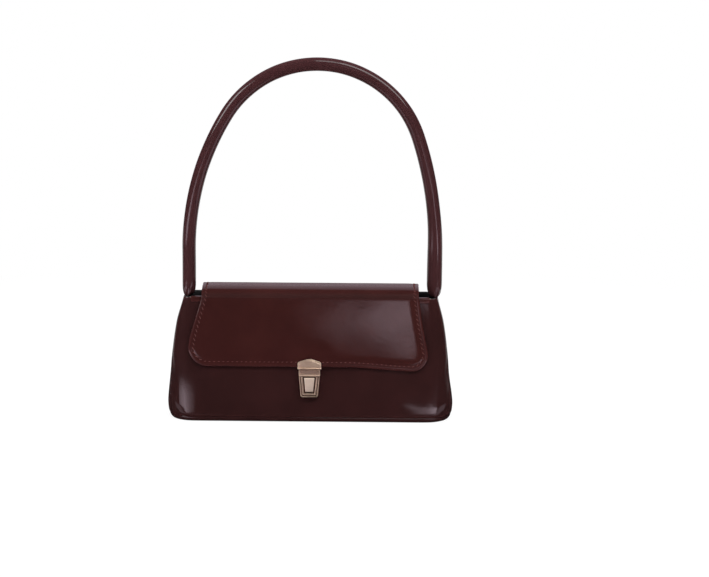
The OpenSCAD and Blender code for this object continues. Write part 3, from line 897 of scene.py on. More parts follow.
    def binding(self) -> None:
        """Makes the strip that is folded over the front rim."""
        out_n = self.play + self.binding_t
        in_n = -(self.depth_of_lining + self.cloth_t + self.play + self.binding_t)
        high, bend = self.wall_top + self.binding_t, self.binding_bend
        arcs = np.linspace(0, math.pi / 2, 7)
        path = [(z, out_n) for z in self.binding_low + EDGE_OFFSETS[:8]]
        path += [(high - bend + bend * math.sin(a), out_n - bend + bend * math.cos(a)) for a in arcs]
        path += [(high, n) for n in np.linspace(out_n - bend, in_n + bend, 6)[1:-1]]
        path += [(high - bend + bend * math.cos(a), in_n + bend - bend * math.sin(a)) for a in arcs]
        path += [(z, in_n) for z in (self.binding_low + EDGE_OFFSETS[:8])[::-1]]
        heights, outs = (np.array(column) for column in zip(*path))
        way = np.concatenate([[0], np.cumsum(np.hypot(np.diff(heights), np.diff(outs)))])

        def surface(x: Grid, q: Grid) -> Grid:
            """Gives the strip's outer face, for x and the way round the fold."""
            z, n = np.interp(q, way, heights), np.interp(q, way, outs)
            n = n + 0.12 * unevenness(x, z, 7.7) * (n > 0)
            y = -BODY.foot + z * math.tan(BODY.slope) - n / math.cos(BODY.slope)
            return np.stack(np.broadcast_arrays(x, y, z), -1)

        x, q = np.meshgrid(spaced(-self.binding_half, self.binding_half, 90), way)
        edge = np.minimum(self.binding_half - np.abs(x), np.minimum(q, way[-1] - q))
        mould = Mould()
        mould.slab(surface(x, q), facing(surface, x, q, 1), self.binding_t, edge)
        piece = self.wardrobe.cast(mould, "front_rim_strip", Finish.LEATHER)
        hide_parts("front_rim_binding")
        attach(piece, "root")

    def build(self) -> None:
        """Makes the whole shell."""
        self.side(Side.FRONT, "front_leather", "front_panel")
        self.side(Side.BACK, "back_leather", "back_panel")
        self.side(Side.LEFT, "left_gusset_leather", "left_gusset")
        self.side(Side.RIGHT, "right_gusset_leather", "right_gusset")
        self.base()
        self.binding()
        LOG.info("leather shell: panels, gussets, base and rim strip")


@dataclass
class Stitcher:
    """Lays sewing threads along a path on a surface."""

    pitch: float = 3.8
    length: float = 2.9
    thread_r: float = 0.36
    slant: float = 0.15
    side_slant: float = 0.65
    sunk: float = 0.06
    low_sunk: float = 0.32
    hump: float = 0.9
    dip: float = 0.35

    def lay(self, mould: Mould, surface: Surface, sign: float, path: Grid,
            keep: Callable[[float, float], bool] | None = None) -> None:
        """Adds one thread for each pitch of the path.

        Args:
            mould: The piece that the threads are added to.
            surface: The surface, as a function of two coordinates.
            sign: 1 or -1, whichever points out of the surface.
            path: Points of the path on the flat pattern, one a row.
            keep: Says whether a thread is laid at a place; all are if it isn't given.
        """
        steps = np.hypot(*np.diff(path, axis=0).T)
        way = np.concatenate([[0], np.cumsum(steps)])
        count = int(way[-1] // self.pitch)
        margin = (way[-1] - count * self.pitch) / 2
        bend = np.linspace(-1, 1, 7)
        sides = np.linspace(0, 2 * math.pi, 8, endpoint=False)
        for i in range(count):
            middle = margin + (i + 0.5) * self.pitch
            spots = middle + bend * self.length / 2
            a, b = np.interp(spots, way, path[:, 0]), np.interp(spots, way, path[:, 1])
            if keep is not None and not keep(float(a[3]), float(b[3])):
                continue
            line = surface(a, b)
            out = facing(surface, a, b, sign)
            along = np.gradient(line, axis=0)
            along /= np.linalg.norm(along, axis=1, keepdims=True)
            across = np.cross(out, along)
            upright = min(abs(float(b[-1] - b[0])) / self.length, 1.0)
            line = line + across * (bend * (self.slant + self.side_slant * upright) * self.length / 2)[:, None]
            thick = self.thread_r * np.sqrt(np.clip(1.02 - bend**4, 0.02, 1))
            sunk = self.sunk + self.low_sunk * (1 - upright)
            line = line + out * (self.thread_r * (self.hump * (1 - bend**2) - self.dip) - sunk)[:, None]
            rings = (line[:, None] + across[:, None] * (thick[:, None] * np.cos(sides))[..., None]
                     + out[:, None] * (thick[:, None] * np.sin(sides))[..., None])
            mould.rings(rings)


@dataclass
class FlapForm:
    """One half of the flap's form: its flat pattern and the way it bends.

    Way q runs over the leather from the middle of the flap's top to the half's lower edge.
    """

    flat_len: float
    bend_r: float
    low_len: float
    is_front: bool
    half_w: float = 94
    top_z: float = 110
    low_half_w: float = 100.5
    corner_r: float = 15
    out_n: float = 5.2
    droop: float = 3.3
    droop_span: Span = (30, 92)
    crown: float = 1.3
    seam_in: float = 4.0
    pad: float = 0.26
    seam_sunk: float = 0.22
    rim_bead: float = 0.12
    relief: float = 0.04
    lock_flat: Span = (15, 16)
    back_draw: float = 0.6
    side_ways: tuple[float, ...] = (0, 16, 28, 33, 38, 46, 58, 61, 69, 75, 87)
    left_shift: tuple[float, ...] = (-0.6, -1.5, -2.0, -1.3, -0.5, 0.5, 1.9, 2.4, 2.3, 1.9, 0.6)
    right_shift: tuple[float, ...] = (-0.6, -1.5, -2.0, -1.7, -1.8, -2.0, -1.4, -1.2, -0.8, -0.2, 0.2)

    @property
    def bend_end(self) -> float:
        """Way at which the bend ends and the straight part starts."""
        return self.flat_len + self.bend_r * (math.pi / 2 - BODY.slope)

    @property
    def end(self) -> float:
        """Way at the lower edge."""
        return self.bend_end + self.low_len

    @property
    def out_sign(self) -> float:
        """Sign of the half's depth, and of the directions out of its leather."""
        return -1.0 if self.is_front else 1.0

    def half_width(self, q: Grid, inset: float) -> Grid:
        """Gives half of the pattern's width.

        Args:
            q: Way from the middle of the top.
            inset: How far inside the leather's outline.

        Returns:
            Half of the width at each way.
        """
        q = np.asarray(q, float)
        radius = self.corner_r - inset
        start = self.end - self.corner_r
        low = self.low_half_w if self.is_front else self.half_w
        middle = low - self.corner_r
        drop = np.clip(q - start, 0, radius)
        arc = middle + np.sqrt(np.maximum(radius**2 - drop**2, 0))
        lean = (low - self.half_w) / (start - self.bend_end)
        line = self.half_w - inset + np.clip(q - self.bend_end, 0, start - self.bend_end) * lean
        return np.where(q > start, arc, line)

    def outline(self, inset: float = 0.0) -> Grid:
        """Gives the pattern's outline.

        Args:
            inset: How far inside the leather's cut line.

        Returns:
            Points from one top end round the lower edge to the other, one a row.
        """
        sides = np.linspace(-40, self.end - self.corner_r, 50)
        radius = self.corner_r - inset
        turn = np.linspace(0, math.pi / 2, 31)[1:]
        low = (self.low_half_w if self.is_front else self.half_w) - self.corner_r
        right = np.stack([self.half_width(sides, inset), sides], -1)
        arc = np.stack([low + radius * np.cos(turn), self.end - self.corner_r + radius * np.sin(turn)], -1)
        half = np.concatenate([right, arc])
        return np.concatenate([half * [-1, 1], half[::-1]])

    def profile(self, q: Grid) -> tuple[Grid, Grid, Grid, Grid]:
        """Gives the flap's bent line.

        Args:
            q: Way from the middle of the top.

        Returns:
            Depth, height, and the outward direction's two parts.
        """
        side = self.out_sign
        middle_z = self.top_z - self.bend_r
        turn = np.clip((q - self.flat_len) / self.bend_r, 0, math.pi / 2 - BODY.slope)
        down = np.maximum(q - self.bend_end, 0)
        flat = np.minimum(q, self.flat_len)
        out_y, out_z = np.sin(turn), np.cos(turn)
        y = flat + self.bend_r * out_y + down * math.sin(BODY.slope)
        z = middle_z + self.bend_r * out_z - down * math.cos(BODY.slope)
        return side * y, z, side * out_y, out_z

    def pulled(self, x: Grid, q: Grid) -> Grid:
        """Gives how far the soft sides of the flap are pulled out of their cut line."""
        if not self.is_front:
            return -self.back_draw * x / self.half_w * (1 - eased(q, 2, 12))
        smooth = [sum(np.interp(q + step, self.side_ways, shift) for step in (-5, -2.5, 0, 2.5, 5)) / 5
                  for shift in (self.left_shift, self.right_shift)]
        share = np.clip(np.abs(x) / 96, 0, 1.1) ** 2.5
        return np.where(x < 0, -smooth[0], smooth[1]) * share

    def low_edge(self, x: Grid) -> Grid:
        """Gives how much further down the sagging lower right corner reaches."""
        return self.droop * eased(x, *self.droop_span) if self.is_front else np.zeros_like(x)

    def face(self, depth: float = 0.0, calm: float = 1.0) -> Surface:
        """Gives a face of the flap.

        Args:
            depth: How deep under the leather's outer face.
            calm: Share of the leather's own relief that the face keeps.

        Returns:
            The face as a function of x and q.
        """
        outline = self.outline()
        phase = 2.9 if self.is_front else -1.7

        def surface(x: Grid, q: Grid) -> Grid:
            """Gives the face.

            Args:
                x: Place across.
                q: Way from the middle of the top.

            Returns:
                The place of each point.
            """
            x, q = np.broadcast_arrays(np.asarray(x, float), np.asarray(q, float))
            edge = edge_distance(x, q, outline)
            relief = (self.pad * eased(edge, 0.8, 10) - self.seam_sunk * hill(edge, self.seam_in, 0.7)
                      + self.rim_bead * hill(edge, 1.8, 1.2))
            relief = relief + self.relief * unevenness(x, q, phase) * eased(edge, 1, 14) * eased(q, 3, 16)
            if self.is_front:
                wide, high = self.lock_flat
                lock = np.exp(-((x / wide) ** 4)) * np.exp(-(((q - self.end) / high) ** 4))
                relief = relief * (1 - lock) - self.crown * np.clip(q / self.flat_len, 0, 1) ** 2
            else:
                relief = relief * (1 - 0.6 * eased(q, self.bend_end, self.bend_end + 8))
            way = q + self.low_edge(x) * eased(q, 30, self.end)
            y, z, out_y, out_z = self.profile(way)
            lift = calm * relief - depth
            return np.stack([x + self.pulled(x, q), y + out_y * lift, z + out_z * lift], -1)

        return surface

    def grid(self, inset: float, top: float, low: float) -> tuple[Grid, Grid, Grid]:
        """Gives a grid on the flat pattern that crowds near its free edges.

        Args:
            inset: How far inside the leather's outline the sheet ends.
            top: Way at which the sheet starts.
            low: How far above the inset lower edge the sheet ends.

        Returns:
            The grid's x, its way q, and the distance from the sheet's free edge.
        """
        end = self.end - inset - low
        radius = self.corner_r - inset
        start = end - radius if low == 0 else end - 4
        if low == 0:
            corner = start + radius * np.sin(np.linspace(0, math.pi / 2, 18))
            extra = end - np.array([0.35, 0.75])
            corner = np.sort(np.concatenate([corner, extra]))
        else:
            corner = end - EDGE_OFFSETS[::-1]
        q = np.concatenate([np.linspace(top, start, max(int((start - top) / 1.5), 3))[:-1], corner])
        q = np.unique(np.round(q, 5))[:, None]
        half = self.half_width(q, inset)
        inner = half - HEM_OFFSETS[-1]
        side = half - HEM_OFFSETS[:-1]
        x = np.concatenate([-side, np.linspace(-1, 1, 110) * inner, side[:, ::-1]], 1)
        q = np.broadcast_to(q, x.shape)
        edge = edge_distance(x, q, self.outline(inset))
        if low != 0:
            edge = np.minimum(edge, end - q)
        return x, q, edge


@dataclass
class Flap:
    """The flap in two halves that meet unseen in the middle of its top."""

    wardrobe: Wardrobe
    front: FlapForm = field(default_factory=lambda: FlapForm(16.33, 9.0, 58.63, True))
    back: FlapForm = field(default_factory=lambda: FlapForm(13.97, 7.0, 20.0, False, corner_r=8.0))
    leather_t: float = 1.3
    hem_t: float = 2.15
    hem_span: Span = (5.2, 6.4)
    bend_dull_span: Span = (3.5, 9)
    lining_depth: float = 2.3
    lining_t: float = 0.7
    lining_inset: float = 2.6
    board_depth: float = 1.4
    board_t: float = 0.75
    board_half: float = 91.0
    board_inset: float = 7.0
    board_play: float = 0.4
    plate_half: float = 10.6

    def bend_over(self, piece: bpy.types.Object, is_front: bool) -> None:
        """Bakes a piece's place into its mesh, alike for the front and the back half."""
        if is_front:
            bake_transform(piece)
        else:
            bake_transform(piece)

    def leather(self, form: FlapForm, name: str, nodes: tuple[str, ...]) -> None:
        """Makes the leather of one half, thicker round its edge where it is turned in.

        Args:
            form: Which half.
            name: Name of the piece.
            nodes: The solids it stands for.
        """
        x, q, edge = form.grid(0.0, 0.0, 0.0)
        turned = 1 - eased(edge, *self.hem_span)
        if not form.is_front:
            turned = turned * (1 - eased(q, 12, 19))
        thick = self.leather_t + (self.hem_t - self.leather_t) * turned
        surface = form.face()
        mould = Mould()
        bent = 1 - eased(np.abs(q - (form.flat_len + form.bend_end) / 2), *self.bend_dull_span)
        mould.slab(surface(x, q), facing(surface, x, q, form.out_sign), thick, edge, dull=bent)
        piece = self.wardrobe.cast(mould, name, Finish.LEATHER)
        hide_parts(*nodes)
        self.bend_over(piece, form.is_front)

    def lining(self, form: FlapForm, name: str, node: str, low: float) -> None:
        """Makes the cloth under one half.

        Args:
            form: Which half.
            name: Name of the piece.
            node: The solid it stands for.
            low: How far above the leather's edge it ends, on the back half.
        """
        x, q, edge = form.grid(self.lining_inset, 0.0, low)
        surface = form.face(self.lining_depth, 0.0)
        mould = Mould()
        mould.slab(surface(x, q), facing(surface, x, q, form.out_sign), self.lining_t, edge)
        piece = self.wardrobe.cast(mould, name, Finish.LINING)
        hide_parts(node)
        self.bend_over(piece, form.is_front)

    def boards(self) -> None:
        """Makes the two flat stiffeners inside the flap."""
        def flat(a: Grid, b: Grid) -> Grid:
            """Gives the level face of the top's stiffener."""
            return np.stack([a, -b, np.full_like(a, self.front.top_z - self.board_depth)], -1)

        leaning, low = self.front.face(self.board_depth, 0.0), (self.front.bend_end + 2, self.front.end - 7.5)
        for name, node, body, surface, (start, end) in (
            ("flap_top_stiffener", "flap_top_board", "flap_top", flat, (-13.0, 15.2)),
            ("flap_front_stiffener", "flap_front_board", "flap_front", leaning, low),
        ):
            q = spaced(start, end, 12)[:, None]
            half = self.front.half_width(np.maximum(q, 0), self.board_inset)
            half = np.minimum(half, self.board_half) - self.board_play
            offsets = EDGE_OFFSETS[:8]
            inner = np.linspace(-1, 1, 60)[1:-1] * (half - offsets[-1])
            x = np.concatenate([-(half - offsets), inner, (half - offsets)[:, ::-1]], 1)
            q = np.broadcast_to(q, x.shape)
            edge = np.minimum(half - np.abs(x), np.minimum(q - start, end - q))
            mould = Mould()
            mould.slab(surface(x, q), facing(surface, x, q, -1), self.board_t, edge, 0.3)
            piece = self.wardrobe.cast(mould, name, Finish.BOARD)
            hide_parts(node)
            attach(piece, body)

    def stitches(self) -> None:
        """Sews round the flap and along the tail."""
        sewing = Stitcher()
        for form, name in ((self.front, "flap_front_stitches"), (self.back, "flap_back_stitches")):
            path = form.outline(form.seam_in)
            path = path[path[:, 1] > 0.4]
            hidden = self.plate_half if form.is_front else 0.0
            mould = Mould()
            sewing.lay(mould, form.face(), form.out_sign, path, lambda a, b, hidden=hidden: abs(a) >= hidden)
            piece = self.wardrobe.match(mould, name, self.wardrobe.thread)
            self.bend_over(piece, form.is_front)

    def build(self) -> None:
        """Makes the whole flap."""
        self.leather(self.front, "flap_front_leather_cover", ("flap_front_leather",))
        self.leather(self.back, "flap_back_leather_cover", ("flap_top_leather", "flap_tail"))
        self.lining(self.front, "flap_front_cloth", "flap_front_lining", 0.0)
        self.lining(self.back, "flap_back_cloth", "flap_top_lining", 22.0)
        self.boards()
        self.stitches()
        LOG.info("flap: leather, cloth, stiffeners and stitches in two halves")


@dataclass
class Inside:
    """The black cloth inside the body, with its slip pocket, and the sewn handle tabs."""

    wardrobe: Wardrobe
    cloth_t: float = 0.6
    depth: float = 3.4
    floor_z: float = 4.2
    low_z: float = 4.3
    top_z: float = 101.9
    pocket_half: float = 55
    pocket_low: float = 30.0
    pocket_top: float = 79.5
    hem: float = 5.0
    hem_t: float = 0.45
    relief: float = 0.3
    tab_width: float = 9
    rim_dip: float = 1.7
    facing_half: float = 104
    facing_t: float = 0.5
    tab_half: float = 6
    tab_span: Span = (77, 99)
    tab_depth: float = 1.55
    tab_t: float = 1.5

    def wall(self, side: Side) -> Surface:
        """Gives the outer face of one wall of the lining.

        Args:
            side: Which side.

        Returns:
            The face as a function of the way along the level line and the height.
        """
        phase = {Side.FRONT: 1.1, Side.BACK: 3.3, Side.LEFT: 4.7, Side.RIGHT: 6.2}[side]

        def surface(s: Grid, z: Grid) -> Grid:
            """Gives the wall's face, slack in the middle and held at floor and rim."""
            calm = eased(z, 8, 25) * (1 - eased(z, 84, 98))
            depth = self.depth + self.relief * (1 + unevenness(s, z, phase)) * calm
            if side.is_gusset:
                near_tab = hill(s, 0, self.tab_width)
                depth = depth - 0.8 * eased(z, 88, 100) * (1 - near_tab) + 0.5 * near_tab * eased(z, 92, 101)
                z = z - self.rim_dip * near_tab * eased(z, 60, 102)
            return BODY.place(s, z, side, depth)

        return surface

    def cloth(self, side: Side, name: str, node: str) -> None:
        """Makes one wall of the lining.

        Args:
            side: Which side.
            name: Name of the piece.
            node: The solid it stands for.
        """
        z = spaced(self.low_z, self.top_z, 30)[:, None]
        half = BODY.half_row(z, side) - 0.1
        s = rows_of(half, 16 if side.is_gusset else 46)
        z = np.broadcast_to(z, s.shape)
        edge = np.minimum(half - np.abs(s), np.minimum(z - self.low_z, self.top_z - z))
        surface = self.wall(side)
        mould = Mould()
        mould.slab(surface(s, z), facing(surface, s, z, 1), self.cloth_t, edge)
        piece = self.wardrobe.cast(mould, name, Finish.LINING)
        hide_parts(node)
        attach(piece, "root")

    def rim_facing(self) -> None:
        """Makes the cloth edge that is folded over the back board at the rim."""
        path = [(95.5, 4.02), (101.2, 4.02), (101.8, 3.85), (102.1, 3.45), (102.2, 3.0), (102.2, 1.5)]
        heights, depths = (np.array(column) for column in zip(*path))
        way = np.concatenate([[0], np.cumsum(np.hypot(np.diff(heights), np.diff(depths)))])
        fine = np.linspace(0, way[-1], 18)

        def surface(s: Grid, q: Grid) -> Grid:
            """Gives the folded edge's outer face, for the way along the rim and round the fold."""
            return BODY.place(s, np.interp(q, way, heights), Side.BACK, np.interp(q, way, depths))

        s, q = np.meshgrid(spaced(-self.facing_half, self.facing_half, 60), fine)
        edge = np.minimum(self.facing_half - np.abs(s), np.minimum(q, way[-1] - q))
        mould = Mould()
        mould.slab(surface(s, q), facing(surface, s, q, 1), self.facing_t, edge)
        piece = self.wardrobe.cast(mould, "back_rim_cloth", Finish.LINING)
        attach(piece, "root")

    def floor(self) -> None:
        """Makes the cloth on the floor of the compartment."""
        share = np.concatenate([[0.02], np.linspace(0.1, 0.96, 16), [0.985, 0.995, 1.0]])
        way = np.linspace(0, 2 * math.pi, 120, endpoint=False)
        z = self.floor_z
        wide, deep, radius = BODY.half_w(z) - 3.7, BODY.half_d(z) - 3.9, BODY.corner_r(z) - 3.5
        cos, sin = np.cos(way), np.sin(way)
        power = 2 / 5.0
        x = np.sign(cos) * np.abs(cos) ** power * wide
        y = np.sign(sin) * np.abs(sin) ** power * deep
        past_x, past_y = np.abs(x) - wide + radius, np.abs(y) - deep + radius
        over = np.maximum(np.hypot(np.maximum(past_x, 0), np.maximum(past_y, 0)) / radius, 1)
        x = np.where(past_x > 0, np.sign(x) * (wide - radius + past_x / over), x)
        y = np.where(past_y > 0, np.sign(y) * (deep - radius + past_y / over), y)
        edge_r = self.cloth_t / 2
        rings = []
        for part in share[::-1]:
            wave = 0.12 * unevenness(x * part, y * part, 9.1) * (1 - part**6)
            drop = edge_r - math.sqrt(max(edge_r**2 - max(edge_r - (1 - part) * deep, 0) ** 2, 0))
            rings.append(np.stack([x * part, y * part, z - drop + wave - 0.3], -1))
        top = np.array(rings)[::-1]
        low = top[::-1] - np.array([0, 0, 1]) * (self.cloth_t * 0.96)
        mould = Mould()
        mould.rings(np.concatenate([top, low]))
        piece = self.wardrobe.cast(mould, "floor_cloth", Finish.LINING)
        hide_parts("base_lining")
        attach(piece, "root")

    def pocket(self) -> None:
        """Makes the slip pocket sewn on the back lining, with its hem and stitches."""
        base = self.wall(Side.BACK)

        def surface(s: Grid, z: Grid) -> Grid:
            """Gives the pocket's inner face, which gapes a little at its middle."""
            s, z = np.broadcast_arrays(s, z)
            slack = (1 - (s / self.pocket_half) ** 2).clip(0) * eased(z, 40, self.pocket_top)
            place = base(s, z)
            inward = np.array([0, -1.0, 0])
            return place + inward * (1.35 + 0.9 * slack + 0.12 * unevenness(s, z, 8.4))[..., None]

        across = spaced(-self.pocket_half, self.pocket_half, 40)
        s, z = np.meshgrid(across, spaced(self.pocket_low, self.pocket_top, 18))
        edge = np.minimum(self.pocket_half - np.abs(s), np.minimum(z - self.pocket_low, self.pocket_top - z))
        hem = 1 - eased(self.pocket_top - z, self.hem - 0.4, self.hem)
        out = facing(surface, s, z, -1)
        mould = Mould()
        raised = self.hem_t * hem
        mould.slab(surface(s, z) + out * raised[..., None], out, self.cloth_t + raised, edge)
        piece = self.wardrobe.cast(mould, "pocket_cloth", Finish.LINING)
        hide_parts("slip_pocket")
        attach(piece, "root")
        sewing = Stitcher(pitch=2.6, length=1.9, thread_r=0.16, slant=0.1, sunk=0.0)
        low, side = self.pocket_low + 1.6, self.pocket_half - 1.6
        mouth, hem_z = self.pocket_top - 1, self.pocket_top - self.hem + 0.8
        threads = Mould()
        round_edge = [(-side, mouth), (-side, low), (side, low), (side, mouth)]
        for path in (round_edge, [(-side, hem_z), (side, hem_z)]):
            sewing.lay(threads, surface, -1, np.array(path))
        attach(self.wardrobe.cast(threads, "pocket_stitches", Finish.LINING), "root")

    def tabs(self) -> None:
        """Makes the sewn ends of the handle, held between the gussets' leather and lining."""
        low, high = self.tab_span
        s, z = np.meshgrid(spaced(-self.tab_half, self.tab_half, 5), spaced(low, high, 12))
        edge = np.minimum(self.tab_half - np.abs(s), np.minimum(z - low, high - z))
        for side, name, node in (
            (Side.LEFT, "left_sewn_tab", "left_handle_tab"),
            (Side.RIGHT, "right_sewn_tab", "right_handle_tab"),
        ):
            def surface(a: Grid, b: Grid, side: Side = side) -> Grid:
                """Gives the tab's outer face, for the way along the level line and the height."""
                return BODY.place(a, b, side, self.tab_depth)

            mould = Mould()
            mould.slab(surface(s, z), facing(surface, s, z, 1), self.tab_t, edge)
            piece = self.wardrobe.cast(mould, name, Finish.SHADED_LEATHER)
            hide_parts(node)
            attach(piece, "root")

    def build(self) -> None:
        """Makes everything inside the body."""
        self.cloth(Side.FRONT, "front_cloth", "front_lining")
        self.cloth(Side.BACK, "back_cloth", "back_lining")
        self.cloth(Side.LEFT, "left_gusset_cloth", "left_gusset_lining")
        self.cloth(Side.RIGHT, "right_gusset_cloth", "right_gusset_lining")
        self.rim_facing()
        self.floor()
        self.pocket()
        self.tabs()
        LOG.info("inside: four walls, floor, rim facing, slip pocket and handle tabs")


@dataclass
class Handle:
    """The padded tubular handle: two legs, an arched crown and two pinched, sewn ends."""

    wardrobe: Wardrobe
    radius: float = 5.75
    half_span: float = 106.7
    left_in: float = 2.0
    leg_top: float = 142.0
    crown_x: float = 5.0
    crown_z: float = 208.1
    crown_r: float = 90.9
    leg_swell: Span = (0.1, 0.8)
    sides: int = 40
    step: float = 1.6
    core_radius: float = 4.3
    core_low: float = 118.6
    cord_sides: int = 24
    straight_low: float = 114.0
    end_heights: tuple[float, ...] = (97.6, 98.6, 99.6, 100.4, 101.2, 102.0, 102.8, 103.6, 104.4, 105.4, 106.4,
                                      107.6, 109.0, 110.6, 112.4)
    # Each row is a height of the pinched end, and its half width, half depth and shift outward there.
    pinch_rows: tuple[tuple[float, float, float, float], ...] = (
        (97.6, 0.85, 5.3, 1.25), (100.4, 1.9, 5.9, 0.85), (101.6, 3.1, 6.3, 0.5), (102.8, 4.15, 6.5, 0.25),
        (104.4, 5.0, 6.5, 0.1), (106.4, 5.5, 6.3, 0.0), (109.0, 5.72, 6.0, 0.0), (114.0, 5.75, 5.75, 0.0))

    def side_arc(self, reach: float) -> Span:
        """Gives the radius and the turn of the arc that joins a leg to the crown.

        Args:
            reach: Distance of the crown's middle from that leg.

        Returns:
            The arc's radius and the angle at which it meets the crown.
        """
        rise = self.crown_z - self.leg_top
        radius = (reach**2 + rise**2 - self.crown_r**2) / (2 * (reach - self.crown_r))
        return radius, math.atan2(rise, radius - reach)

    def middle_line(self) -> Grid:
        """Gives the tube's middle line as rows of x, z and the angle of the arch's outer side."""
        left = self.half_span - self.left_in
        left_r, left_turn = self.side_arc(left + self.crown_x)
        right_r, right_turn = self.side_arc(self.half_span - self.crown_x)
        rows = [(-left, z, math.pi) for z in self.end_heights]
        rows += [(-left, z, math.pi) for z in np.arange(self.straight_low, self.leg_top, self.step)]
        arcs = (
            (left_r - left, self.leg_top, left_r, math.pi, math.pi - left_turn),
            (self.crown_x, self.crown_z, self.crown_r, math.pi - left_turn, right_turn),
            (self.half_span - right_r, self.leg_top, right_r, right_turn, 0.0),
        )
        for x, z, r, start, end in arcs:
            turns = np.linspace(start, end, max(int(abs(end - start) * r / self.step), 3), endpoint=False)
            rows += [(x + r * math.cos(a), z + r * math.sin(a), a) for a in turns]
        rows += [(self.half_span, self.leg_top, 0.0)]
        falling = np.arange(self.leg_top - self.step, self.straight_low, -self.step)
        rows += [(self.half_span, z, 0.0) for z in falling]
        rows += [(self.half_span, z, 0.0) for z in self.end_heights[::-1]]
        line = np.array(rows)
        line[:, 0] -= self.left_in * (1 - eased(line[:, 1], 96, 105)) * (line[:, 0] < 0)
        return line

    def build(self) -> None:
        """Makes the cover with its gathered ends and its sewn seam."""
        line = self.middle_line()
        x, z, turn = line.T
        heights, across, deep, shift = np.array(self.pinch_rows).T
        low = z < self.straight_low
        half_x = np.where(low, np.interp(z, heights, across), self.radius)
        half_y = np.where(low, np.interp(z, heights, deep), self.radius)
        x = x + np.where(low, np.interp(z, heights, shift), 0) * np.sign(x)
        way = np.concatenate([[0], np.cumsum(np.hypot(np.diff(line[:, 0]), np.diff(line[:, 1])))])
        theta = np.linspace(0, 2 * math.pi, self.sides, endpoint=False)[None]
        gathered = (1 - eased(z, 101.5, 111))[:, None]
        wide_folds = 0.11 * np.cos(7 * theta + 0.6 * np.sign(x)[:, None])
        folds = 1 + gathered * (wide_folds + 0.05 * np.cos(11 * theta + 1.9))
        fuller = np.where(x < 0, *self.leg_swell) / self.radius * eased(z, 103, 112) * (1 - eased(z, 125, 190))
        soft = 1 + 0.012 * unevenness(way[:, None] * 1.0, theta * 9, 0.8) + fuller[:, None]
        seam = 1 - 0.05 * hill(theta, math.pi, 0.09)
        ease = folds * soft * seam
        radial = half_x[:, None] * np.cos(theta) * ease
        points = np.stack([
            x[:, None] + radial * np.cos(turn)[:, None],
            -half_y[:, None] * np.sin(theta) * ease,
            z[:, None] + radial * np.sin(turn)[:, None],
        ], -1)
        mould = Mould()
        mould.rings(points)
        # The cover takes the lighter leather with its painted sheen.
        piece = self.wardrobe.match(mould, "handle_leather_cover", self.wardrobe.handle)
        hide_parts("handle_cover")
        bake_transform(piece)
        held = line[:, 1] > self.core_low
        self.core(line[held], way[held])
        LOG.info("handle: cover of %d points", len(points.reshape(-1, 3)))

    def core(self, line: Grid, way: Grid) -> None:
        """Makes the twisted cord inside the cover.

        Args:
            line: The part of the middle line that the cord follows.
            way: The way along the line at its points.
        """
        theta = np.linspace(0, 2 * math.pi, self.cord_sides, endpoint=False)[None]
        strands = self.core_radius * (1 + 0.04 * np.abs(np.cos(1.5 * theta + 0.14 * way[:, None])))
        x, z, turn = line.T[:, :, None]
        mould = Mould()
        mould.rings(np.stack([x + strands * np.cos(theta) * np.cos(turn), -strands * np.sin(theta),
                              z + strands * np.cos(theta) * np.sin(turn)], -1))
        piece = self.wardrobe.cast(mould, "handle_twisted_cord", Finish.CORE)
        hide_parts("handle_core")
        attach(piece, "handle")


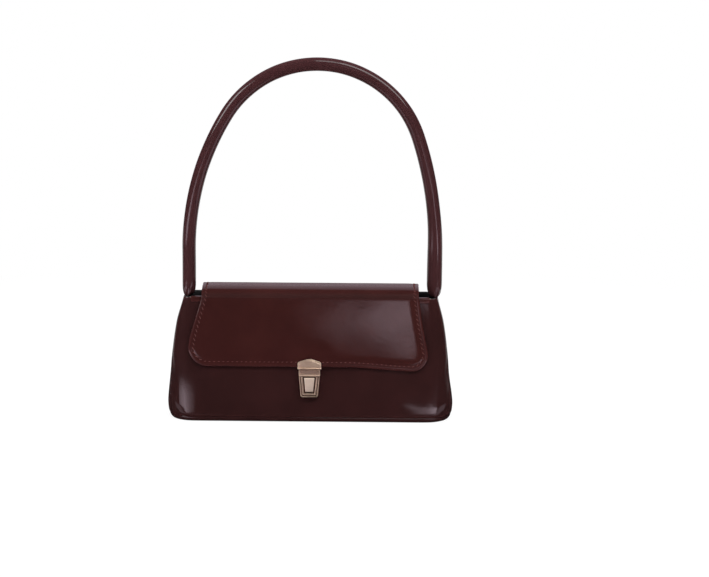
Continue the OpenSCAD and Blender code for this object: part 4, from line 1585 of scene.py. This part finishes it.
@dataclass
class PushLock:
    """The lock's shaped metal: plate on the flap, framed case and raised button."""

    wardrobe: Wardrobe
    case_top: float = 39.7
    case_low: float = 20.8
    case_w_top: float = 18.0
    case_w_low: float = 14.5
    button_top: float = 37.4
    button_low: float = 25.4
    button_w_top: float = 9.0
    button_w_low: float = 6.6
    case_n: float = 4.2
    button_n: float = 4.6
    flap_low: float = 46.5
    window_gap: float = 0.22
    plate_half: float = 10.0
    plate_n: float = 5.22
    plate_t: float = 1.08
    plate_drop: float = 2.2
    shoulder_rise: float = 3.9
    peak_rise: float = 6.5
    peak_half: float = 1.7
    # Share of tarnish and painted shade in the case's grooves.
    groove_tarnish_and_shade: float = 0.7

    @staticmethod
    def rounded(corners: list[Spot], steps: int = 6) -> Grid:
        """Gives a closed outline with rounded corners.

        Args:
            corners: Each corner's two coordinates and its radius, turning left.
            steps: How many stretches each corner's arc has.

        Returns:
            The outline's points, one a row.
        """
        points = []
        spots = np.array([c[:2] for c in corners], float)
        for i, (_, _, radius) in enumerate(corners):
            here = spots[i]
            back, ahead = spots[i - 1] - here, spots[(i + 1) % len(spots)] - here
            back, ahead = back / np.linalg.norm(back), ahead / np.linalg.norm(ahead)
            half = math.acos(float(np.clip(back @ ahead, -1, 1))) / 2
            centre = here + (back + ahead) / np.linalg.norm(back + ahead) * radius / math.sin(half)
            first, last = here + back * radius / math.tan(half), here + ahead * radius / math.tan(half)
            start = math.atan2(*(first - centre)[::-1])
            swing = (math.atan2(*(last - centre)[::-1]) - start + math.pi) % (2 * math.pi) - math.pi
            angles = [start + swing * k / steps for k in range(steps + 1)]
            points += [centre + radius * np.array([math.cos(a), math.sin(a)]) for a in angles]
        return np.array(points)

    def taper(self, share: float, radius: float) -> Grid:
        """Gives the case's outline drawn in towards the button's window.

        Args:
            share: 0 for the outside, 1 for the window.
            radius: Radius of its corners.

        Returns:
            The outline on the front slope, one point a row.
        """
        gap = self.window_gap
        top = self.case_top + share * (self.button_top + gap - self.case_top)
        low = self.case_low + share * (self.button_low - gap - self.case_low)
        w_top = self.case_w_top + share * (self.button_w_top + 2 * gap - self.case_w_top)
        w_low = self.case_w_low + share * (self.button_w_low + 2 * gap - self.case_w_low)
        return self.rounded([(-w_low / 2, low, radius), (w_low / 2, low, radius), (w_top / 2, top, radius),
                             (-w_top / 2, top, radius)])

    @staticmethod
    def levels(mould: Mould, rows: list[tuple[Grid, float]], joined: bool = False,
               dull: Grid | float = 0.0) -> None:
        """Adds outlines at rising distances from the front slope, skinned together."""
        loops = [BODY.on_front(outline[:, 0], outline[:, 1], n) for outline, n in rows]
        mould.rings(np.array(loops), joined=joined, dull=dull)

    def block(self, mould: Mould, x: Span, u: Span, n: Span, soft: float = 0.3) -> None:
        """Adds a block with rounded corners and softened edges.

        Args:
            mould: The piece that it is added to.
            x: Its two ends across.
            u: Its two ends up the slope.
            n: Its back and its front.
            soft: Radius of its corners.
        """
        def ring(inset: float) -> Grid:
            """Gives the block's outline, drawn in by an inset."""
            radius = max(soft - inset, 0.05)
            left, right, low, top = x[0] + inset, x[1] - inset, u[0] + inset, u[1] - inset
            return self.rounded([(left, low, radius), (right, low, radius), (right, top, radius),
                                 (left, top, radius)], 4)

        ease = min(soft, (n[1] - n[0]) / 3) * 0.7
        self.levels(mould, [(ring(ease * 0.5), n[0]), (ring(0), n[0] + ease * 0.5), (ring(0), n[1] - ease),
                            (ring(ease * 0.3), n[1] - ease * 0.3), (ring(ease), n[1])])

    def case(self) -> None:
        """Makes the case with its stepped frames, the landing of the tongue and its ears."""
        mould = Mould()
        top = self.case_n
        # Each row is the way in from the outline to the window, the corner radius, the height and the tarnish
        # with painted shade in the grooves.
        frames = [
            (0.0, 1.9, -0.6, 0), (0.0, 1.9, top - 1.0, 0), (0.015, 1.9, top - 0.5, 0),
            (0.05, 1.85, top - 0.14, 0), (0.10, 1.75, top, 0), (0.20, 1.6, top, 0),
            (0.235, 1.5, top - 0.12, 0.2), (0.25, 1.5, top - 1.3, 1), (0.40, 1.4, top - 1.35, 1),
            (0.415, 1.35, top - 0.25, 0.2), (0.445, 1.3, top - 0.08, 0), (0.49, 1.25, top, 0),
            (0.68, 1.1, top, 0), (0.73, 1.0, top - 0.1, 0.2), (0.76, 1.0, top - 1.0, 1),
            (0.94, 0.8, top - 1.1, 1), (1.0, 0.7, top - 1.5, 1), (1.0, 0.7, -0.6, 1)]
        self.levels(mould, [(self.taper(share, radius), n) for share, radius, n, _ in frames], joined=True,
                    dull=np.array([0.3 + self.groove_tarnish_and_shade * row[3] for row in frames]))
        self.block(mould, (-9.0, 9.0), (self.case_top - 0.6, self.case_top + 5), (-0.5, 0.6))
        self.block(mould, (-8.9, 8.9), (self.case_top - 1.3, self.case_top + 0.1), (top - 1.2, top + 0.45),
                   0.5)
        for ear in ((-9.0, -7.35), (7.35, 9.0)):
            self.block(mould, ear, (self.case_top - 0.5, self.case_top + 4.7), (0.0, 3.0), 0.5)
        for flange in ((-6.2, -5.6), (5.6, 6.2)):
            self.block(mould, flange, (22.6, 43.9), (-2.5, 0.2), 0.1)
        piece = self.wardrobe.cast(mould, "lock_case_shell", Finish.PALE_GOLD, 50)
        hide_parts("lock_case")
        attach(piece, "root")

    def button(self) -> None:
        """Makes the raised push button."""
        mould = Mould()

        def ring(inset: float, radius: float) -> Grid:
            """Gives the button's outline, drawn in by an inset, with corners of a radius."""
            top, low = self.button_top - inset, self.button_low + inset
            w_top, w_low = self.button_w_top / 2 - inset, self.button_w_low / 2 - inset
            return self.rounded([(-w_low, low, radius), (w_low, low, radius), (w_top, top, radius),
                                 (-w_top, top, radius)])

        n = self.button_n
        self.levels(mould, [(ring(0, 0.7), -0.1), (ring(0, 0.7), n - 0.55), (ring(0.07, 0.68), n - 0.25),
                            (ring(0.25, 0.6), n - 0.07), (ring(0.5, 0.5), n), (ring(1.4, 0.4), n + 0.02),
                            (ring(2.2, 0.3), n + 0.03)])
        piece = self.wardrobe.cast(mould, "lock_push_button", Finish.BRIGHT_GOLD, 60)
        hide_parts("lock_button")
        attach(piece, "button")

    def plate(self) -> None:
        """Makes the plate on the flap's edge, with its rolled lower lip and its return to the tongue."""
        mould = Mould()
        half, low = self.plate_half, self.flap_low - self.plate_drop
        shoulder, peak = self.flap_low + self.shoulder_rise, self.flap_low + self.peak_rise

        def ring(inset: float) -> Grid:
            """Gives the plate's outline, drawn in by an inset."""
            side, foot_r, shoulder_r = half - inset, 0.9 - inset * 0.6, 2.4 - inset
            return self.rounded([
                (-side, low + inset, foot_r), (side, low + inset, foot_r),
                (side, shoulder - inset, shoulder_r), (self.peak_half, peak - inset, 3.0),
                (-self.peak_half, peak - inset, 3.0), (-side, shoulder - inset, shoulder_r)])

        base, top = self.plate_n, self.plate_n + self.plate_t
        self.levels(mould, [(ring(0.15), base), (ring(0), base + 0.15), (ring(0), top - 0.35),
                            (ring(0.1), top - 0.12), (ring(0.35), top), (ring(0.9), top + 0.02),
                            (ring(1.05), top - 0.14), (ring(1.2), top - 0.14), (ring(1.35), top + 0.02),
                            (ring(1.45), top + 0.03)])
        self.block(mould, (-half + 0.1, half - 0.1), (low - 0.1, low + 1.1), (base + 0.2, top + 0.75), 0.5)
        self.block(mould, (-7.0, 7.0), (self.flap_low - 1.05, self.flap_low - 0.05), (2.66, base + 0.5), 0.2)
        piece = self.wardrobe.cast(mould, "flap_lock_plate", Finish.PALE_GOLD, 50)
        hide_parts("flap_plate")
        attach(piece, "flap_front")

    def build(self) -> None:
        """Makes the lock's shaped pieces."""
        self.case()
        self.button()
        self.plate()
        LOG.info("lock: case, button and plate")


@dataclass
class Studio:
    """The camera, the pale floor, the white surroundings, the lamps and the cards that only gloss shows."""

    elevation: float = 7.91
    yaw: float = 0.75
    roll: float = 0.34
    distance: float = 1.2633
    aim: Spot = (0.0, 0.0, 0.120)
    focal_px: float = 1465.5
    aim_px: Span = (310.6, 273.9)
    sensor: float = 36.0
    ambient: float = 0.35
    card_tint: Colour = (1, 0.82, 0.93, 1)
    card_limit: float = 9.0
    tent: Span = (3.4, 3.2)
    dark_table_z: float = 0.0004
    pale_table_z: float = 0.0008
    floor_half: float = 12

    def camera(self) -> None:
        """Sets the camera at the photograph's viewing angle."""
        pitch, turn = math.radians(self.elevation), math.radians(self.yaw)
        back = Vector((math.sin(turn) * math.cos(pitch), -math.cos(turn) * math.cos(pitch), math.sin(pitch)))
        data = bpy.data.cameras.new("camera")
        data.sensor_width = self.sensor
        data.lens = self.focal_px * data.sensor_width / IMAGE_W
        data.shift_x = (IMAGE_W / 2 - self.aim_px[0]) / IMAGE_W
        data.shift_y = -(IMAGE_H / 2 - self.aim_px[1]) / IMAGE_W
        data.clip_start, data.clip_end = 0.05, 100
        camera = stood("camera", data)
        stand = Matrix.Translation(Vector(self.aim) + back * self.distance)
        look = (-back).to_track_quat("-Z", "Y").to_matrix().to_4x4()
        camera.matrix_world = stand @ look @ Matrix.Rotation(math.radians(self.roll), 4, "Z")
        bpy.context.scene.camera = camera

    @staticmethod
    def facing_place(place: Vector, aim: Vector, along: Vector) -> Matrix:
        """Gives the frame of a flat thing that faces a point, with its width along a direction.

        Args:
            place: Its middle.
            aim: The point that its front faces.
            along: The direction of its width.

        Returns:
            The frame, whose -Z faces the point.
        """
        out = (place - aim).normalized()
        wide = (along - out * along.dot(out)).normalized()
        high = out.cross(wide)
        return Matrix.Translation(place) @ Matrix((wide, high, out)).transposed().to_4x4()

    def lamp(self, name: str, place: Spot, size: Span, radiance: float, along: Spot = (1, 0, 0),
             mirrored: bool = True) -> None:
        """Adds a soft rectangular lamp.

        Args:
            name: Its name.
            place: Where it stands.
            size: Its width and height.
            radiance: How bright its face is.
            along: The direction of its width.
            mirrored: Whether gloss shows it.
        """
        data = bpy.data.lights.new(name, "AREA")
        data.shape = "RECTANGLE"
        data.size, data.size_y = size
        data.energy = radiance * math.pi * size[0] * size[1]
        lamp = stood(name, data)
        lamp.matrix_world = self.facing_place(Vector(place), Vector(self.aim), Vector(along))
        lamp.visible_glossy = mirrored

    @staticmethod
    def flat(name: str, corners: list[Spot], material: bpy.types.Material) -> bpy.types.Object:
        """Gives a new flat thing of the studio with these corners."""
        mesh = bpy.data.meshes.new(name)
        mesh.from_pydata(corners, [], [tuple(range(len(corners)))])
        mesh.materials.append(material)
        return stood(name, mesh)

    def card(self, name: str, corners: list[Spot], tone: float, rise: Spot = (0, 0, 0),
             start: Spot = (0, 0, 0)) -> None:
        """Adds a flat studio card that only the gloss of the object sees.

        Args:
            name: Its name.
            corners: Its corners.
            tone: How bright it is at the start.
            rise: Direction in which it gets brighter, as long as the gain of one metre.
            start: Where the rise starts.
        """
        bench = NodeBench(name)
        way = bench.add("ShaderNodeVectorMath", {0: bench.place, 1: start}, operation="SUBTRACT").outputs[0]
        gain = bench.add("ShaderNodeVectorMath", {0: way, 1: rise}, operation="DOT_PRODUCT").outputs["Value"]
        limits = {"Value": bench.sum("ADD", gain, tone), "Min": 0.0, "Max": self.card_limit}
        light = bench.add("ShaderNodeClamp", limits).outputs[0]
        glow = bench.add("ShaderNodeEmission", {"Color": self.card_tint, "Strength": light})
        bench.add("ShaderNodeOutputMaterial", {"Surface": glow.outputs[0]})
        card = self.flat(name, corners, bench.material)
        card.visible_camera = card.visible_diffuse = card.visible_shadow = card.visible_transmission = False

    def surround(self) -> None:
        """Adds the dark tent round the object, and the bright cards that its gloss mirrors."""
        far, high = self.tent
        for name, first, last, tone, rise in (
            ("front_wall", (-far, -far), (far, -far), 0.03, (0, 0, 0)),
            ("left_wall", (-far, -far), (-far, far), 0.04, (0, 0, 0)),
            ("right_wall", (far, -far), (far, far), 0.04, (0, 0, 0)),
            ("back_wall", (-far, far), (far, far), 0.52, (0, 0, -0.13)),
        ):
            self.card(name, [(*first, 0), (*last, 0), (*last, high), (*first, high)], tone, rise)
        around = ((-far, -far), (far, -far), (far, far), (-far, far))
        self.card("ceiling", [(x, y, high) for x, y in around], 0.04, (0, 0.03, 0), (0, -far, 0))
        for name, z, spots, tone in (
            ("dark_table", self.dark_table_z, ((-far, -far), (far, -far), (far, 0.3), (-far, 0.3)), 0.05),
            ("pale_table", self.pale_table_z,
             ((0.07, -0.13), (0.40, -0.45), (0.70, -0.10), (0.17, -0.05)), 1.5),
            ("pale_table_left", self.pale_table_z,
             ((-0.07, -0.13), (-0.17, -0.05), (-0.70, -0.10), (-0.40, -0.45)), 1.3),
        ):
            self.card(name, [(x, y, z) for x, y in spots], tone)
        y = -2.2
        self.card("window", [(-0.03, y, 0.70), (0.262, y, 0.70), (0.262, y, 0.882), (0.146, y, 0.866),
                             (-0.03, y, 0.830)], 2.7, (14, 0, 38), (0.138, y, 0.795))
        self.card("low_left_outer", [(-0.98, -0.52, 0.03), (-0.62, -0.87, 0.06), (-0.62, -0.87, 0.225),
                                     (-0.98, -0.52, 0.12)], 2.8, (5.1, -5.1, 0), (-0.98, -0.52, 0))
        self.card("low_left_inner", [(-0.62, -0.87, 0.06), (-0.26, -1.0, 0.15), (-0.26, -1.0, 0.29),
                                     (-0.62, -0.87, 0.225)], 0.6, (-11.8, 4.3, 0), (-0.26, -1.0, 0))
        self.card("low_right", [(0.15, -1.02, 0.155), (0.27, -1.0, 0.165), (0.49, -0.95, 0.125),
                                (0.86, -0.70, 0.0012), (0.86, -0.70, 0.045), (0.49, -0.95, 0.180),
                                (0.27, -1.0, 0.206), (0.15, -1.02, 0.205)], 2.6, (8.5, 4.3, 0), (0.15, -1.02, 0))
        self.card("soft_right", [(0.40, -2.87, 0.22), (2.05, -2.05, 0.22), (2.05, -2.05, 0.50),
                                 (0.40, -2.87, 0.50)], 0.45)

    def floor(self) -> None:
        """Adds the pale floor, white to the eye and to reflections, which keeps the object's shadow."""
        bench = NodeBench("pale_floor")
        away = bench.add("ShaderNodeVectorMath", {0: bench.place}, operation="LENGTH").outputs["Value"]
        share = bench.sum("MULTIPLY", bench.seen_or_mirrored(), bench.spread(away, 0.2, 0.9, 0.90, 1.0))
        speck = bench.blend(bench.noise(9, 2), (0.84, 0.84, 0.84, 1), (0.88, 0.88, 0.88, 1))
        matt = bench.add("ShaderNodeBsdfDiffuse", {"Color": speck})
        glow = bench.add("ShaderNodeEmission", {"Color": (1, 1, 1, 1), "Strength": 1.0})
        mixed = bench.add("ShaderNodeMixShader", {0: share, 1: matt.outputs[0], 2: glow.outputs[0]})
        bench.add("ShaderNodeOutputMaterial", {"Surface": mixed.outputs[0]})
        half = self.floor_half
        floor = self.flat("floor", [(-half, -half, 0), (half, -half, 0), (half, half, 0), (-half, half, 0)],
                          bench.material)

    def world(self) -> None:
        """Sets a soft grey world for the light, and white where it is seen or mirrored."""
        world = bpy.data.worlds.new("studio")
        bpy.context.scene.world = world
        bench = NodeBench("studio", world)
        soft = bench.add("ShaderNodeBackground", {"Color": (1, 1, 1, 1), "Strength": self.ambient}).outputs[0]
        white = bench.add("ShaderNodeBackground", {"Color": (1, 1, 1, 1), "Strength": 1.0}).outputs[0]
        mixed = bench.add("ShaderNodeMixShader", {0: bench.seen_or_mirrored(), 1: soft, 2: white})
        bench.add("ShaderNodeOutputWorld", {"Surface": mixed.outputs[0]})

    def build(self) -> None:
        """Sets up the whole studio."""
        self.camera()
        self.floor()
        self.world()
        self.surround()
        self.lamp("upper_right", (0.93, -0.89, 1.63), (1.35, 0.75), 7.0, (1.25, 0.27, -0.61))
        self.lamp("upper_middle", (0.14, -1.06, 1.95), (0.34, 0.75), 5.0, (1.25, 0.27, -0.30))
        self.lamp("upper_left", (-1.45, -0.95, 1.25), (0.8, 0.8), 9.0, (0.55, -0.83, 0))
        self.lamp("soft_front", (0, -1.2, 1.6), (1.5, 1.0), 3.0, mirrored=False)
        self.lamp("soft_top", (0, 0.6, 1.9), (1.4, 0.8), 11.0, mirrored=False)
        bpy.context.scene.view_settings.view_transform = "Standard"
        LOG.info("studio: camera, floor, world, lamps and walls")


def main() -> None:
    """Builds every sub-assembly and the studio."""
    logging.basicConfig(level=logging.INFO, format="%(message)s")
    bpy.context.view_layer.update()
    wardrobe = Wardrobe()
    wardrobe.dress_solids()
    Studio().build()
    Shell(wardrobe).build()
    Flap(wardrobe).build()
    Inside(wardrobe).build()
    Handle(wardrobe).build()
    PushLock(wardrobe).build()


if __name__ == "__main__":
    main()
